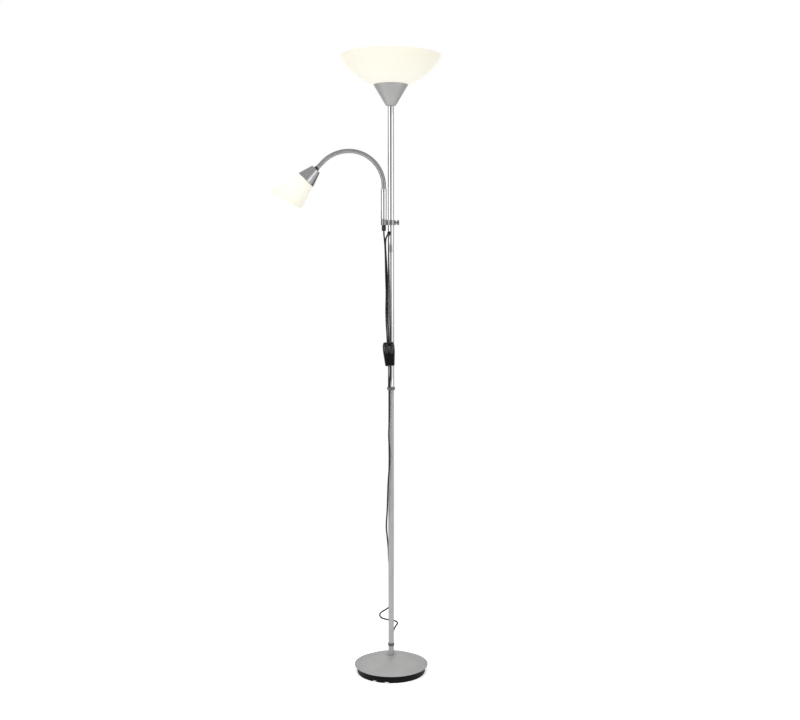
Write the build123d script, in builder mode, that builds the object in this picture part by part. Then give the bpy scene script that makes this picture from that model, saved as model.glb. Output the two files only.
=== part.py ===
"""Torchiere floor lamp with a gooseneck reading light. Millimetres, +Z up.

The origin is on the floor, on the pole's axis. The reading light reaches out to -X, and the
front of the lamp, with its cord switch, looks to -Y. Pieces are listed from the floor up.
"""

import math
import os

from build123d import *

os.makedirs("parts", exist_ok=True)

# ---------------------------------------------------------------- driving dimensions
# General fits: a screwed or turning fit, and the air left where curved faces rest.
fit = 0.05
seat_gap = 0.3

# Base: foam pad, cast weight and spun dome.
weight_radius = 100.0
weight_rim_wall = 9.0
weight_floor = 17.0
pad_inset = 1.0
pad_thickness = 2.5
notch_width = 13.0
notch_height = 4.5
notch_depth = 9.0
notch_bearings = (241.0, 263.0)
dome_apex = 50.0
dome_wall = 1.0
dome_rim_radius = 107.4
bead_radius = 1.3
bead_height = 22.4
dimple_radius = 12.0
dimple_run = 3.0
dimple_height = 47.8

# Screwed stud that holds the pole on the base.
stud_radius = 5.0
stud_bottom = 4.5
nut_recess_radius = 15.0
nut_recess_top = 12.5
nut_flats = 17.0
nut_height = 6.0
washer_radius = 11.0
washer_thickness = 1.6
spacer_radius = 9.0
foot_insert_length = 30.0

# Pole: two slim tubes below, two wider ones above.
slim_radius = 8.0
wide_radius = 9.0
tube_wall = 1.0
joint_low = 447.0
joint_middle = 842.0
joint_high = 1229.0
coupler_reach = 20.0
coupler_bore = 3.6

# Cord clips: the ring under the wide tubes, and the black ring above the base.
clip_height = 8.0
upper_clip_radius = 11.4
lower_clip_radius = 9.6
lower_clip_centre = 81.5
clip_lug_wall = 1.3
clip_play = 0.35

# Uplight: cone, lampholder, bowl and bulb.
lamp_height = 1780.0
bowl_rim_radius = 143.4
bowl_sphere = 161.0
bowl_wall = 2.0
cone_mouth_radius = 49.0
cone_mouth_gap = 0.83
cone_length = 57.7
cone_foot_radius = 14.0
cone_wall = 1.2
cone_floor = 1.6
nipple_rise = 14.7
nipple_bore = 2.7
head_insert_length = 20.0
lock_nut_flats = 14.0
lock_nut_height = 3.2
socket_cap_radius = 18.0
socket_skirt_radius = 19.6
socket_flange_radius = 23.5
socket_flange_thickness = 3.5
socket_rise = 15.0
socket_cavity_radius = 15.6
shell_radius = 13.4
shell_wall = 1.0
bulb_seat_depth = 30.0
bulb_length = 78.0
bulb_radius = 22.5
glass_wall = 1.0
cap_radius = 13.1
cap_length = 25.0
shade_ring_radius = 27.0
shade_ring_height = 9.0

# Clamp that joins the reading arm to the pole.
clamp_height = 14.1
clamp_bottom = 1305.8
clamp_pole_radius = 13.0
clamp_eye_radius = 8.4
clamp_web = 12.0
arm_offset = 20.2
screw_radius = 3.0
screw_boss = 15.0
knob_radius = 7.0
knob_near = 17.2
knob_far = 23.6
knob_flutes = 14
flute_radius = 0.8

# Arm: straight tube, cord gland below it, ferrule and gooseneck above it.
arm_radius = 8.4
arm_length = 85.0
arm_play = 0.1
arm_nipple_radius = 4.95
arm_nipple_drop = 9.8
arm_plug_length = 14.0
gland_radius = 6.0
gland_length = 16.5
ferrule_depth = 15.0
ferrule_collar = 5.5
ferrule_lip = 7.1
neck_radius = 6.4
neck_bore = 3.6
neck_stand = 11.0
neck_first_bend = 98.8
neck_second_bend = 104.0
head_slope = 46.0
neck_straight = 21.0

# Reading head: black collar, cup, small lampholder, bell shade with a slanting mouth.
collar_radius = 7.4
collar_length = 5.5
spigot_length = 17.0
head_stud_length = 13.0
cup_small_radius = 14.85
cup_large_radius = 28.8
cup_length = 42.5
cup_wall = 1.0
small_socket_radius = 13.0
small_skirt_radius = 14.2
small_flange_radius = 19.0
small_flange_at = 27.0
small_flange_thickness = 3.0
small_socket_mouth = 47.0
small_cavity_radius = 8.9
small_shell_radius = 7.2
small_cap_radius = 6.9
small_bulb_tip = 21.0
small_cap_length = 22.0
small_bulb_end = 102.0
shade_wall = 2.0
shade_plate_radius = 21.3
shade_neck_radius = 27.3
shade_far = 142.0
shade_far_radius = 55.0
shade_bulge = 1.0
mouth_on_axis = 123.4
mouth_slant = 16.2
small_ring_radius = 19.4
small_ring_height = 5.5

# Cord switch: a case of two halves with two rockers, hung in the cord before the pole.
switch_x = -5.1
switch_y = -20.6
switch_z = 939.3
switch_tilt = 4.1
case_half_length = 34.3
case_half_top = 14.2
case_half_wide = 17.0
case_half_bottom = 13.4
case_shell = 11.0
case_wall = 1.8
case_round = 4.0
case_edge = 2.5
rocker_half_length = 11.4
rocker_width = 11.8
rocker_centre = 13.0
rocker_pitch = 14.0
rocker_drop = 3.2
rocker_rise = 4.6
rocker_valley = 3.2
rocker_keel = 3.0
rocker_tilt = 6.0
rocker_play = 0.9
pivot_radius = 1.2
cheek_thickness = 1.2
boss_radius = 3.0
case_screw_radius = 1.4
case_screw_length = 15.0
case_screw_height = -23.0
case_screw_spacing = 16.0

# Cords, and the flat two-pin plug on the floor behind the base.
cord_diameter = 4.4
plug_bearing = 9.0
plug_distance = 119.2
plug_length = 35.5
plug_width = 35.3
plug_tail_width = 17.0
plug_thickness = 13.7
plug_round = 3.0
plug_boot_length = 14.25
plug_boot_radius = 4.4
pin_radius = 2.0
pin_length = 19.0
pin_spacing = 18.6
outlet_drop = 22.8
outlet_bearing = 247.5
outlet_ball = 5.5
outlet_reach = 12.8
outlet_neck = 3.4
outlet_inside = 7.2
outlet_nose = 6.5
outlet_slope = (-0.62, 0.0, -0.785)

# ---------------------------------------------------------------- places that follow
cord_radius = cord_diameter / 2
slim_bore = slim_radius - tube_wall
wide_bore = wide_radius - tube_wall
upper_clip_centre = joint_middle - clip_height / 2
bead_circle = dome_rim_radius - bead_radius
dome_drop = dome_apex - bead_height
dome_sphere = (bead_circle**2 + dome_drop**2) / (2 * dome_drop)
dome_centre = dome_apex - dome_sphere
bowl_centre = lamp_height + math.sqrt(bowl_sphere**2 - bowl_rim_radius**2)
bowl_hole = socket_skirt_radius + 0.6
clamp_top = clamp_bottom + clamp_height
arm_foot = clamp_top + arm_play
arm_top = arm_foot + arm_length
arm_nipple_bottom = clamp_bottom - arm_nipple_drop
gland_bottom = clamp_bottom - gland_length
neck_rise = arm_top + neck_stand
outlet_height = clamp_bottom - outlet_drop
arm_bore = arm_radius - tube_wall
switch_top = case_half_length
head_dip = math.radians(head_slope)


def dome_height(radius, wall=0.0):
    """Height of the dome's outer face, or of the face that lies wall inside it."""
    return dome_centre + math.sqrt((dome_sphere - wall) ** 2 - radius**2)


def bowl_height(radius, wall=0.0):
    """Height of the bowl's outer face, or of the face that lies wall inside it."""
    return bowl_centre - math.sqrt((bowl_sphere - wall) ** 2 - radius**2)


def outline(corners, plane=Plane.XZ):
    """A flat face with straight sides through the corners, on the given plane."""
    with BuildSketch(plane) as flat:
        with BuildLine():
            Polyline(*corners, close=True)
        make_face()
    return flat.sketch


def band(inner, outer, low, high):
    """Corners of the section of a plain ring, as (radius, height)."""
    return [(inner, low), (outer, low), (outer, high), (inner, high)]


def bend_radii(points):
    """Radius of each arc of a cord: 0.45 of its shorter run over the tangent of half its turn."""
    radii = []
    for before, here, after in zip(points, points[1:], points[2:]):
        run_in = Vector(*here) - Vector(*before)
        run_out = Vector(*after) - Vector(*here)
        turn = math.radians(run_in.get_angle(run_out))
        radii.append(0.45 * min(run_in.length, run_out.length) / math.tan(turn / 2))
    return radii


def report_cord(name, points, solid):
    """Print a cord's runs, its arcs' radii, its length, and its volume against its section."""
    runs = [(Vector(*b) - Vector(*a)).length for a, b in zip(points, points[1:])]
    radii = bend_radii(points)
    length = cord_line(points).length
    section = math.pi * cord_radius**2
    print(name, "points", [tuple(round(value, 2) for value in point) for point in points])
    print(name, "runs", [round(run, 1) for run in runs])
    print(name, "radii", [round(radius, 1) for radius in radii])
    print(name, "length", round(length, 1), "volume share", round(solid.volume / (section * length), 4))


def cord_line(points):
    """A cord's centre line: straight runs joined by tangent arcs."""
    return FilletPolyline(*points, radius=bend_radii(points))


weight_pocket_radius = weight_radius - weight_rim_wall
cone_mouth_height = bowl_height(cone_mouth_radius) - cone_mouth_gap
pole_top = cone_mouth_height - cone_length
cone_foot = pole_top
nipple_top = pole_top + nipple_rise
socket_mouth = cone_mouth_height + socket_rise
bulb_tip = socket_mouth - bulb_seat_depth


# ---------------------------------------------------------------- base
def notches():
    """Where the two cable notches are cut in the base's lower edge."""
    places = []
    for bearing in notch_bearings:
        angle = math.radians(bearing)
        spot = (weight_radius * math.cos(angle), weight_radius * math.sin(angle), 0)
        places.append(Location(spot, (0, 0, bearing)))
    return places


with BuildPart() as base_pad:
    Cylinder(
        weight_radius - pad_inset,
        pad_thickness,
        align=(Align.CENTER, Align.CENTER, Align.MIN),
    )
    with Locations(*notches()):
        Box(2 * notch_depth, notch_width, 2 * notch_height, mode=Mode.SUBTRACT)
base_pad.part.label = "base_pad"

weight_rim = dome_height(weight_radius, dome_wall) - seat_gap
weight_profile = [
    (stud_radius + seat_gap, nut_recess_top),
    (nut_recess_radius, nut_recess_top),
    (nut_recess_radius, pad_thickness),
    (weight_radius, pad_thickness),
    (weight_radius, weight_rim),
    (weight_pocket_radius, weight_rim),
    (weight_pocket_radius, weight_floor),
    (stud_radius + seat_gap, weight_floor),
]
with BuildPart() as base_weight:
    revolve(outline(weight_profile), axis=Axis.Z)
    with Locations(*notches()):
        Box(2 * notch_depth, notch_width, 2 * notch_height, mode=Mode.SUBTRACT)
base_weight.part.label = "base_weight"

dimple_edge = dimple_radius + dimple_run
dome_middle = bead_circle / 2
with BuildPart() as base_dome:
    with BuildSketch(Plane.XZ):
        with BuildLine():
            Polyline(
                (stud_radius + seat_gap, dimple_height),
                (dimple_radius, dimple_height),
                (dimple_edge, dome_height(dimple_edge)),
            )
            ThreePointArc(
                (dimple_edge, dome_height(dimple_edge)),
                (dome_middle, dome_height(dome_middle)),
                (bead_circle, dome_height(bead_circle)),
            )
            Line(
                (bead_circle, dome_height(bead_circle)),
                (bead_circle, dome_height(bead_circle, dome_wall)),
            )
            ThreePointArc(
                (bead_circle, dome_height(bead_circle, dome_wall)),
                (dome_middle, dome_height(dome_middle, dome_wall)),
                (dimple_edge, dome_height(dimple_edge, dome_wall)),
            )
            Polyline(
                (dimple_edge, dome_height(dimple_edge, dome_wall)),
                (dimple_radius, dimple_height - dome_wall),
                (stud_radius + seat_gap, dimple_height - dome_wall),
                (stud_radius + seat_gap, dimple_height),
            )
        make_face()
        with Locations((bead_circle, bead_height)):
            Circle(bead_radius)
    revolve(axis=Axis.Z)
base_dome.part.label = "base_dome"

with BuildPart() as base_spacer:
    revolve(
        outline(band(stud_radius + seat_gap, spacer_radius, weight_floor, dimple_height - dome_wall)),
        axis=Axis.Z,
    )
base_spacer.part.label = "base_spacer"

washer_bottom = nut_recess_top - washer_thickness
with BuildPart() as base_washer:
    revolve(
        outline(band(stud_radius + seat_gap, washer_radius, washer_bottom, nut_recess_top)),
        axis=Axis.Z,
    )
base_washer.part.label = "base_washer"

with BuildPart() as base_nut:
    with BuildSketch(Plane.XY.offset(washer_bottom - nut_height)):
        RegularPolygon(nut_flats / 2, 6, major_radius=False)
        Circle(stud_radius + fit, mode=Mode.SUBTRACT)
    extrude(amount=nut_height)
base_nut.part.label = "base_nut"

stud_top = dimple_height + foot_insert_length - 3
with BuildPart() as pole_stud:
    with BuildSketch(Plane.XY.offset(stud_bottom)):
        Circle(stud_radius)
    extrude(amount=stud_top - stud_bottom)
    chamfer(pole_stud.edges().filter_by(GeomType.CIRCLE), 0.8)
pole_stud.part.label = "pole_stud"

with BuildPart() as pole_foot_insert:
    with BuildSketch(Plane.XY.offset(dimple_height)):
        Circle(slim_bore - fit)
        Circle(stud_radius + fit, mode=Mode.SUBTRACT)
    extrude(amount=foot_insert_length)
pole_foot_insert.part.label = "pole_foot_insert"

# ---------------------------------------------------------------- pole
pole_spans = {
    "pole_tube_1": (slim_radius, dimple_height, joint_low),
    "pole_tube_2": (slim_radius, joint_low, joint_middle),
    "pole_tube_3": (wide_radius, joint_middle, joint_high),
    "pole_tube_4": (wide_radius, joint_high, pole_top),
}
outlet_turn = math.radians(outlet_bearing)
outlet_way = Vector(math.cos(outlet_turn), math.sin(outlet_turn), 0)
outlet_foot = Vector(0, 0, outlet_height)
pole_tubes = []
for tube_name, (tube_radius, low, high) in pole_spans.items():
    with BuildPart() as tube:
        with BuildSketch(Plane.XY.offset(low)):
            Circle(tube_radius)
            Circle(tube_radius - tube_wall, mode=Mode.SUBTRACT)
        extrude(amount=high - low)
        if low < outlet_height < high:
            with BuildSketch(Plane(origin=outlet_foot, z_dir=outlet_way)):
                Circle(outlet_neck + fit)
            extrude(amount=2 * tube_radius, mode=Mode.SUBTRACT)
    tube.part.label = tube_name
    pole_tubes.append(tube.part)

coupler_fits = {
    "pole_coupler_low": (joint_low, slim_bore, slim_bore),
    "pole_coupler_middle": (joint_middle, slim_bore, wide_bore),
    "pole_coupler_high": (joint_high, wide_bore, wide_bore),
}
couplers = []
for coupler_name, (seam, below, above) in coupler_fits.items():
    stepped = [
        (coupler_bore, seam - coupler_reach),
        (below - fit, seam - coupler_reach),
        (below - fit, seam),
        (above - fit, seam),
        (above - fit, seam + coupler_reach),
        (coupler_bore, seam + coupler_reach),
    ]
    if below == above:
        stepped = band(coupler_bore, below - fit, seam - coupler_reach, seam + coupler_reach)
    with BuildPart() as coupler:
        revolve(outline(stepped), axis=Axis.Z)
    coupler.part.label = coupler_name
    couplers.append(coupler.part)

with BuildPart() as pole_head_insert:
    with BuildSketch(Plane.XY.offset(pole_top - head_insert_length)):
        Circle(wide_bore - fit)
        Circle(stud_radius + fit, mode=Mode.SUBTRACT)
    extrude(amount=head_insert_length)
pole_head_insert.part.label = "pole_head_insert"

# Cord clips: a ring on the slim tube, with an eye that the mains lead passes through.
upper_clip_eye = (-4.7, -14.3)
lower_clip_eye = (0.3, 13.2)
eye_radius = cord_radius + clip_play
lug_radius = eye_radius + clip_lug_wall
clip_places = {
    "cord_clip_upper": (upper_clip_centre, upper_clip_radius, upper_clip_eye),
    "cord_clip_lower": (lower_clip_centre, lower_clip_radius, lower_clip_eye),
}
clips = []
for clip_name, (middle, ring_radius, eye) in clip_places.items():
    eye_distance = math.hypot(*eye)
    eye_angle = math.degrees(math.atan2(eye[1], eye[0]))
    with BuildPart() as clip:
        with BuildSketch(Plane.XY.offset(middle - clip_height / 2)):
            Circle(ring_radius)
            with Locations((eye[0] / 2, eye[1] / 2)):
                SlotCenterToCenter(eye_distance, 2 * lug_radius, rotation=eye_angle)
            Circle(slim_radius + fit, mode=Mode.SUBTRACT)
            with Locations(eye):
                Circle(eye_radius, mode=Mode.SUBTRACT)
        extrude(amount=clip_height)
    clip.part.label = clip_name
    clips.append(clip.part)

# Black ball-shaped bush where the uplight's lead leaves the pole.
outlet_centre = outlet_foot + outlet_way * outlet_reach
nose_way = Vector(*outlet_slope).normalized()
with BuildPart() as cord_outlet:
    with Locations(outlet_centre):
        Sphere(outlet_ball)
    with BuildSketch(Plane(origin=outlet_centre, z_dir=nose_way)):
        Circle(cord_radius + 1)
    extrude(amount=outlet_nose)
    with Locations((0, 0, outlet_height)):
        Cylinder(wide_radius + fit, 4 * outlet_ball, mode=Mode.SUBTRACT)
    with BuildSketch(Plane(origin=outlet_foot + outlet_way * outlet_inside, z_dir=outlet_way)):
        Circle(outlet_neck)
    extrude(amount=outlet_reach - wide_bore)
cord_outlet.part.label = "cord_outlet"

# ---------------------------------------------------------------- uplight
cone_top_bore = cone_mouth_radius - cone_wall / math.cos(math.atan(0.6))
cone_shelf = cone_foot + cone_floor
cone_lean = (cone_mouth_radius - cone_foot_radius) / (cone_mouth_height - cone_foot)
cone_shelf_bore = cone_top_bore - cone_lean * (cone_mouth_height - cone_shelf)
cone_profile = [
    (stud_radius + seat_gap, cone_foot),
    (cone_foot_radius - 0.8, cone_foot),
    (cone_foot_radius, cone_foot + 0.8),
    (cone_mouth_radius, cone_mouth_height),
    (cone_top_bore, cone_mouth_height),
    (cone_shelf_bore, cone_shelf),
    (stud_radius + seat_gap, cone_shelf),
]
with BuildPart() as uplight_cone:
    revolve(outline(cone_profile), axis=Axis.Z)
uplight_cone.part.label = "uplight_cone"

with BuildPart() as uplight_nipple:
    with BuildSketch(Plane.XY.offset(pole_top - head_insert_length + 2)):
        Circle(stud_radius)
        Circle(nipple_bore, mode=Mode.SUBTRACT)
    extrude(amount=nipple_top - pole_top + head_insert_length - 2)
uplight_nipple.part.label = "uplight_nipple"

with BuildPart() as uplight_lock_nut:
    with BuildSketch(Plane.XY.offset(cone_shelf)):
        RegularPolygon(lock_nut_flats / 2, 6, major_radius=False)
        Circle(stud_radius + fit, mode=Mode.SUBTRACT)
    extrude(amount=lock_nut_height)
uplight_lock_nut.part.label = "uplight_lock_nut"

socket_foot = cone_shelf + lock_nut_height
flange_top = bowl_height(bowl_hole) - seat_gap
flange_foot = flange_top - socket_flange_thickness
cavity_floor = bulb_tip - 5
shell_foot = cavity_floor + 0.5
cap_top = bulb_tip + cap_length
shell_top = cap_top - 0.6
socket_profile = [
    (stud_radius + fit, socket_foot),
    (12.0, socket_foot),
    (socket_cap_radius, socket_foot + 13),
    (socket_cap_radius, flange_foot),
    (socket_flange_radius, flange_foot),
    (socket_flange_radius, flange_top),
    (socket_skirt_radius, flange_top),
    (socket_skirt_radius, socket_mouth),
    (socket_cavity_radius, socket_mouth),
    (socket_cavity_radius, cavity_floor),
    (nipple_bore, cavity_floor),
    (nipple_bore, nipple_top + 1),
    (stud_radius + fit, nipple_top + 1),
]
with BuildPart() as uplight_socket:
    revolve(outline(socket_profile), axis=Axis.Z)
uplight_socket.part.label = "uplight_socket"

shell_profile = [
    (0, cavity_floor),
    (shell_radius + shell_wall, cavity_floor),
    (shell_radius + shell_wall, shell_top),
    (shell_radius, shell_top),
    (shell_radius, shell_foot + shell_wall),
    (4.0, shell_foot + shell_wall),
    (3.0, bulb_tip),
    (0, bulb_tip),
]
with BuildPart() as uplight_contact:
    revolve(outline(shell_profile), axis=Axis.Z)
uplight_contact.part.label = "uplight_contact"

cap_foot = bulb_tip + 0.2
cap_profile = [
    (0, cap_foot),
    (4.5, cap_foot),
    (6.0, cap_foot + 2),
    (cap_radius - 2, cap_foot + 3),
    (cap_radius, cap_foot + 6),
    (cap_radius, cap_top),
    (0, cap_top),
]
with BuildPart() as uplight_bulb_cap:
    revolve(outline(cap_profile), axis=Axis.Z)
uplight_bulb_cap.part.label = "uplight_bulb_cap"

globe_centre = bulb_tip + bulb_length - bulb_radius
globe_join = 15.5
globe_neck = cap_radius + 0.8
globe_drop = math.sqrt(bulb_radius**2 - globe_join**2)
glass_share = (bulb_radius - glass_wall) / bulb_radius
with BuildPart() as uplight_bulb_globe:
    with BuildSketch(Plane.XZ):
        with BuildLine():
            Polyline(
                (globe_neck - glass_wall, cap_top),
                (globe_neck, cap_top),
                (globe_neck, socket_mouth),
                (globe_join, globe_centre - globe_drop),
            )
            ThreePointArc(
                (globe_join, globe_centre - globe_drop),
                (bulb_radius, globe_centre),
                (0, globe_centre + bulb_radius),
            )
            Line((0, globe_centre + bulb_radius), (0, globe_centre + bulb_radius - glass_wall))
            ThreePointArc(
                (0, globe_centre + bulb_radius - glass_wall),
                (bulb_radius - glass_wall, globe_centre),
                (globe_join * glass_share, globe_centre - globe_drop * glass_share),
            )
            Polyline(
                (globe_join * glass_share, globe_centre - globe_drop * glass_share),
                (globe_neck - glass_wall, socket_mouth),
                (globe_neck - glass_wall, cap_top),
            )
        make_face()
    revolve(axis=Axis.Z)
uplight_bulb_globe.part.label = "uplight_bulb_globe"

bowl_inner_rim = math.sqrt((bowl_sphere - bowl_wall) ** 2 - (bowl_centre - lamp_height) ** 2)
bowl_middle = bowl_rim_radius * 0.6
with BuildPart() as uplight_bowl:
    with BuildSketch(Plane.XZ):
        with BuildLine():
            ThreePointArc(
                (bowl_hole, bowl_height(bowl_hole)),
                (bowl_middle, bowl_height(bowl_middle)),
                (bowl_rim_radius, lamp_height),
            )
            Line((bowl_rim_radius, lamp_height), (bowl_inner_rim, lamp_height))
            ThreePointArc(
                (bowl_inner_rim, lamp_height),
                (bowl_middle, bowl_height(bowl_middle, bowl_wall)),
                (bowl_hole, bowl_height(bowl_hole, bowl_wall)),
            )
            Line(
                (bowl_hole, bowl_height(bowl_hole, bowl_wall)),
                (bowl_hole, bowl_height(bowl_hole)),
            )
        make_face()
    revolve(axis=Axis.Z)
uplight_bowl.part.label = "uplight_bowl"

ring_foot = bowl_height(shade_ring_radius, bowl_wall) + seat_gap
with BuildPart() as uplight_shade_ring:
    revolve(
        outline(
            band(socket_skirt_radius + fit, shade_ring_radius, ring_foot, ring_foot + shade_ring_height)
        ),
        axis=Axis.Z,
    )
    with PolarLocations(shade_ring_radius, 16):
        with Locations((0, 0, ring_foot + shade_ring_height / 2 + 1)):
            Cylinder(1.2, shade_ring_height, mode=Mode.SUBTRACT)
uplight_shade_ring.part.label = "uplight_shade_ring"

# ---------------------------------------------------------------- clamp
arm_axis = Axis((-arm_offset, 0, 0), (0, 0, 1))
clamp_middle = clamp_bottom + clamp_height / 2
across = Plane(origin=(0, 0, clamp_middle), x_dir=(0, 1, 0), z_dir=(1, 0, 0))
with BuildPart() as arm_clamp:
    with BuildSketch(Plane.XY.offset(clamp_bottom)):
        Circle(clamp_pole_radius)
        with Locations((-arm_offset, 0)):
            Circle(clamp_eye_radius)
        with Locations((-arm_offset / 2, 0)):
            Rectangle(arm_offset, clamp_web)
        Circle(wide_radius + fit, mode=Mode.SUBTRACT)
        with Locations((-arm_offset, 0)):
            Circle(arm_nipple_radius + fit, mode=Mode.SUBTRACT)
    extrude(amount=clamp_height)
    with BuildSketch(across.offset(wide_radius + 1)):
        Circle(screw_radius + 2.4)
    extrude(amount=screw_boss - wide_radius - 1)
    with BuildSketch(across.offset(wide_radius - 1)):
        Circle(screw_radius + fit)
    extrude(amount=screw_boss, mode=Mode.SUBTRACT)
arm_clamp.part.label = "arm_clamp"

with BuildPart() as clamp_screw:
    with BuildSketch(across.offset(wide_radius + seat_gap)):
        Circle(screw_radius)
    extrude(amount=knob_near - wide_radius - seat_gap)
    with BuildSketch(across.offset(knob_near)):
        Circle(knob_radius)
        with PolarLocations(knob_radius, knob_flutes):
            Circle(flute_radius, mode=Mode.SUBTRACT)
    extrude(amount=knob_far - knob_near)
clamp_screw.part.label = "clamp_screw"

# ---------------------------------------------------------------- reading arm
arm_line = Plane(origin=(-arm_offset, 0, 0))
with BuildPart() as arm_tube:
    with BuildSketch(arm_line.offset(arm_foot)):
        Circle(arm_radius)
        Circle(arm_bore, mode=Mode.SUBTRACT)
    extrude(amount=arm_top - arm_foot)
arm_tube.part.label = "arm_tube"

with BuildPart() as arm_foot_plug:
    with BuildSketch(arm_line.offset(arm_foot)):
        Circle(arm_bore - fit)
        Circle(arm_nipple_radius + fit, mode=Mode.SUBTRACT)
    extrude(amount=arm_plug_length)
arm_foot_plug.part.label = "arm_foot_plug"

with BuildPart() as arm_nipple:
    with BuildSketch(arm_line.offset(arm_nipple_bottom)):
        Circle(arm_nipple_radius)
        Circle(nipple_bore, mode=Mode.SUBTRACT)
    extrude(amount=arm_foot + arm_plug_length + 2 - arm_nipple_bottom)
arm_nipple.part.label = "arm_nipple"

with BuildPart() as arm_gland:
    with BuildSketch(arm_line.offset(gland_bottom)):
        Circle(gland_radius)
        Circle(cord_radius + fit, mode=Mode.SUBTRACT)
    extrude(amount=clamp_bottom - arm_play - gland_bottom)
    with BuildSketch(arm_line.offset(arm_nipple_bottom)):
        Circle(arm_nipple_radius + fit)
    extrude(amount=clamp_height, mode=Mode.SUBTRACT)
arm_gland.part.label = "arm_gland"

arm_side = Plane(origin=(-arm_offset, 0, 0), x_dir=(1, 0, 0), z_dir=(0, -1, 0))
ferrule_profile = [
    (neck_radius + fit, arm_top - ferrule_depth),
    (arm_bore - fit, arm_top - ferrule_depth),
    (arm_bore - fit, arm_top),
    (arm_radius, arm_top),
    (arm_radius, arm_top + 2),
    (ferrule_lip, arm_top + ferrule_collar),
    (neck_radius + fit, arm_top + ferrule_collar),
]
with BuildPart() as neck_ferrule:
    revolve(outline(ferrule_profile, arm_side), axis=arm_axis)
neck_ferrule.part.label = "neck_ferrule"

# The gooseneck's line: straight up, a quarter turn, a shorter turn down, then straight.
neck_foot = arm_top - ferrule_depth + 1
neck_crown = (-arm_offset - neck_first_bend, neck_rise + neck_first_bend)
neck_turn_end = (
    neck_crown[0] - neck_second_bend * math.sin(head_dip),
    neck_crown[1] - neck_second_bend * (1 - math.cos(head_dip)),
)
neck_end = (
    neck_turn_end[0] - neck_straight * math.cos(head_dip),
    neck_turn_end[1] - neck_straight * math.sin(head_dip),
)


def neck_path(start_height, extra):
    """The gooseneck's centre line from start_height, run on past its end by extra."""
    with BuildLine(Plane.XZ) as path:
        Line((-arm_offset, start_height), (-arm_offset, neck_rise))
        JernArc((-arm_offset, neck_rise), (0, 1), neck_first_bend, 90)
        JernArc(neck_crown, (-1, 0), neck_second_bend, head_slope)
        Line(
            neck_turn_end,
            (
                neck_end[0] - extra * math.cos(head_dip),
                neck_end[1] - extra * math.sin(head_dip),
            ),
        )
    return path.wire()


with BuildPart() as gooseneck:
    with BuildSketch(arm_line.offset(neck_foot)):
        Circle(neck_radius)
        Circle(neck_bore, mode=Mode.SUBTRACT)
    sweep(path=neck_path(neck_foot, 0))
gooseneck.part.label = "gooseneck"

# ---------------------------------------------------------------- reading head
# The head's own frame: along its axis from the cup's small end, and square to it.
head_way = Vector(-math.cos(head_dip), 0, -math.sin(head_dip))
head_square = Vector(-math.sin(head_dip), 0, math.cos(head_dip))
head_origin = Vector(neck_end[0], 0, neck_end[1]) + head_way * collar_length
head_axis = Axis(tuple(head_origin), tuple(head_way))
head_side = Plane(origin=head_origin, x_dir=head_way, z_dir=(0, 1, 0))


def along(profile):
    """Turn (radius, height) corners into (height, radius) corners of the head's side plane."""
    return [(height, radius) for radius, height in profile]


fitting_profile = [
    (cord_radius + fit, -collar_length - spigot_length),
    (neck_bore - fit, -collar_length - spigot_length),
    (neck_bore - fit, -collar_length),
    (collar_radius, -collar_length),
    (collar_radius, 0),
    (arm_nipple_radius, 0),
    (arm_nipple_radius, head_stud_length),
    (cord_radius + fit, head_stud_length),
]
with BuildPart() as neck_end_fitting:
    revolve(outline(along(fitting_profile), head_side), axis=head_axis)
neck_end_fitting.part.label = "neck_end_fitting"

cup_lean = (cup_large_radius - cup_small_radius) / cup_length
cup_skin = cup_wall / math.cos(math.atan(cup_lean))
cup_floor = 1.4
cup_profile = [
    (arm_nipple_radius + fit, 0),
    (cup_small_radius - 1, 0),
    (cup_small_radius, 1),
    (cup_large_radius, cup_length),
    (cup_large_radius - cup_skin, cup_length),
    (cup_small_radius - cup_skin + cup_lean * cup_floor, cup_floor),
    (arm_nipple_radius + fit, cup_floor),
]
with BuildPart() as reading_cup:
    revolve(outline(along(cup_profile), head_side), axis=head_axis)
reading_cup.part.label = "reading_cup"

with BuildPart() as reading_lock_nut:
    with BuildSketch(Plane(origin=head_origin + head_way * cup_floor, z_dir=head_way)):
        RegularPolygon(lock_nut_flats / 2, 6, major_radius=False)
        Circle(arm_nipple_radius + fit, mode=Mode.SUBTRACT)
    extrude(amount=lock_nut_height)
reading_lock_nut.part.label = "reading_lock_nut"

small_socket_foot = cup_floor + lock_nut_height
small_flange_top = small_flange_at + small_flange_thickness
small_cavity_floor = small_bulb_tip - 4
small_cap_top = small_bulb_tip + small_cap_length
small_shell_top = small_cap_top - 0.6
small_socket_profile = [
    (arm_nipple_radius + fit, small_socket_foot),
    (10.0, small_socket_foot),
    (small_socket_radius, small_socket_foot + 6),
    (small_socket_radius, small_flange_at),
    (small_flange_radius, small_flange_at),
    (small_flange_radius, small_flange_top),
    (small_skirt_radius, small_flange_top),
    (small_skirt_radius, small_socket_mouth),
    (small_cavity_radius, small_socket_mouth),
    (small_cavity_radius, small_cavity_floor),
    (cord_radius + fit, small_cavity_floor),
    (cord_radius + fit, head_stud_length + 0.5),
    (arm_nipple_radius + fit, head_stud_length + 0.5),
]
with BuildPart() as reading_socket:
    revolve(outline(along(small_socket_profile), head_side), axis=head_axis)
reading_socket.part.label = "reading_socket"

small_shell_profile = [
    (0, small_cavity_floor),
    (small_shell_radius + shell_wall, small_cavity_floor),
    (small_shell_radius + shell_wall, small_shell_top),
    (small_shell_radius, small_shell_top),
    (small_shell_radius, small_cavity_floor + shell_wall),
    (2.5, small_cavity_floor + shell_wall),
    (2.0, small_bulb_tip),
    (0, small_bulb_tip),
]
with BuildPart() as reading_contact:
    revolve(outline(along(small_shell_profile), head_side), axis=head_axis)
reading_contact.part.label = "reading_contact"

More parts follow.
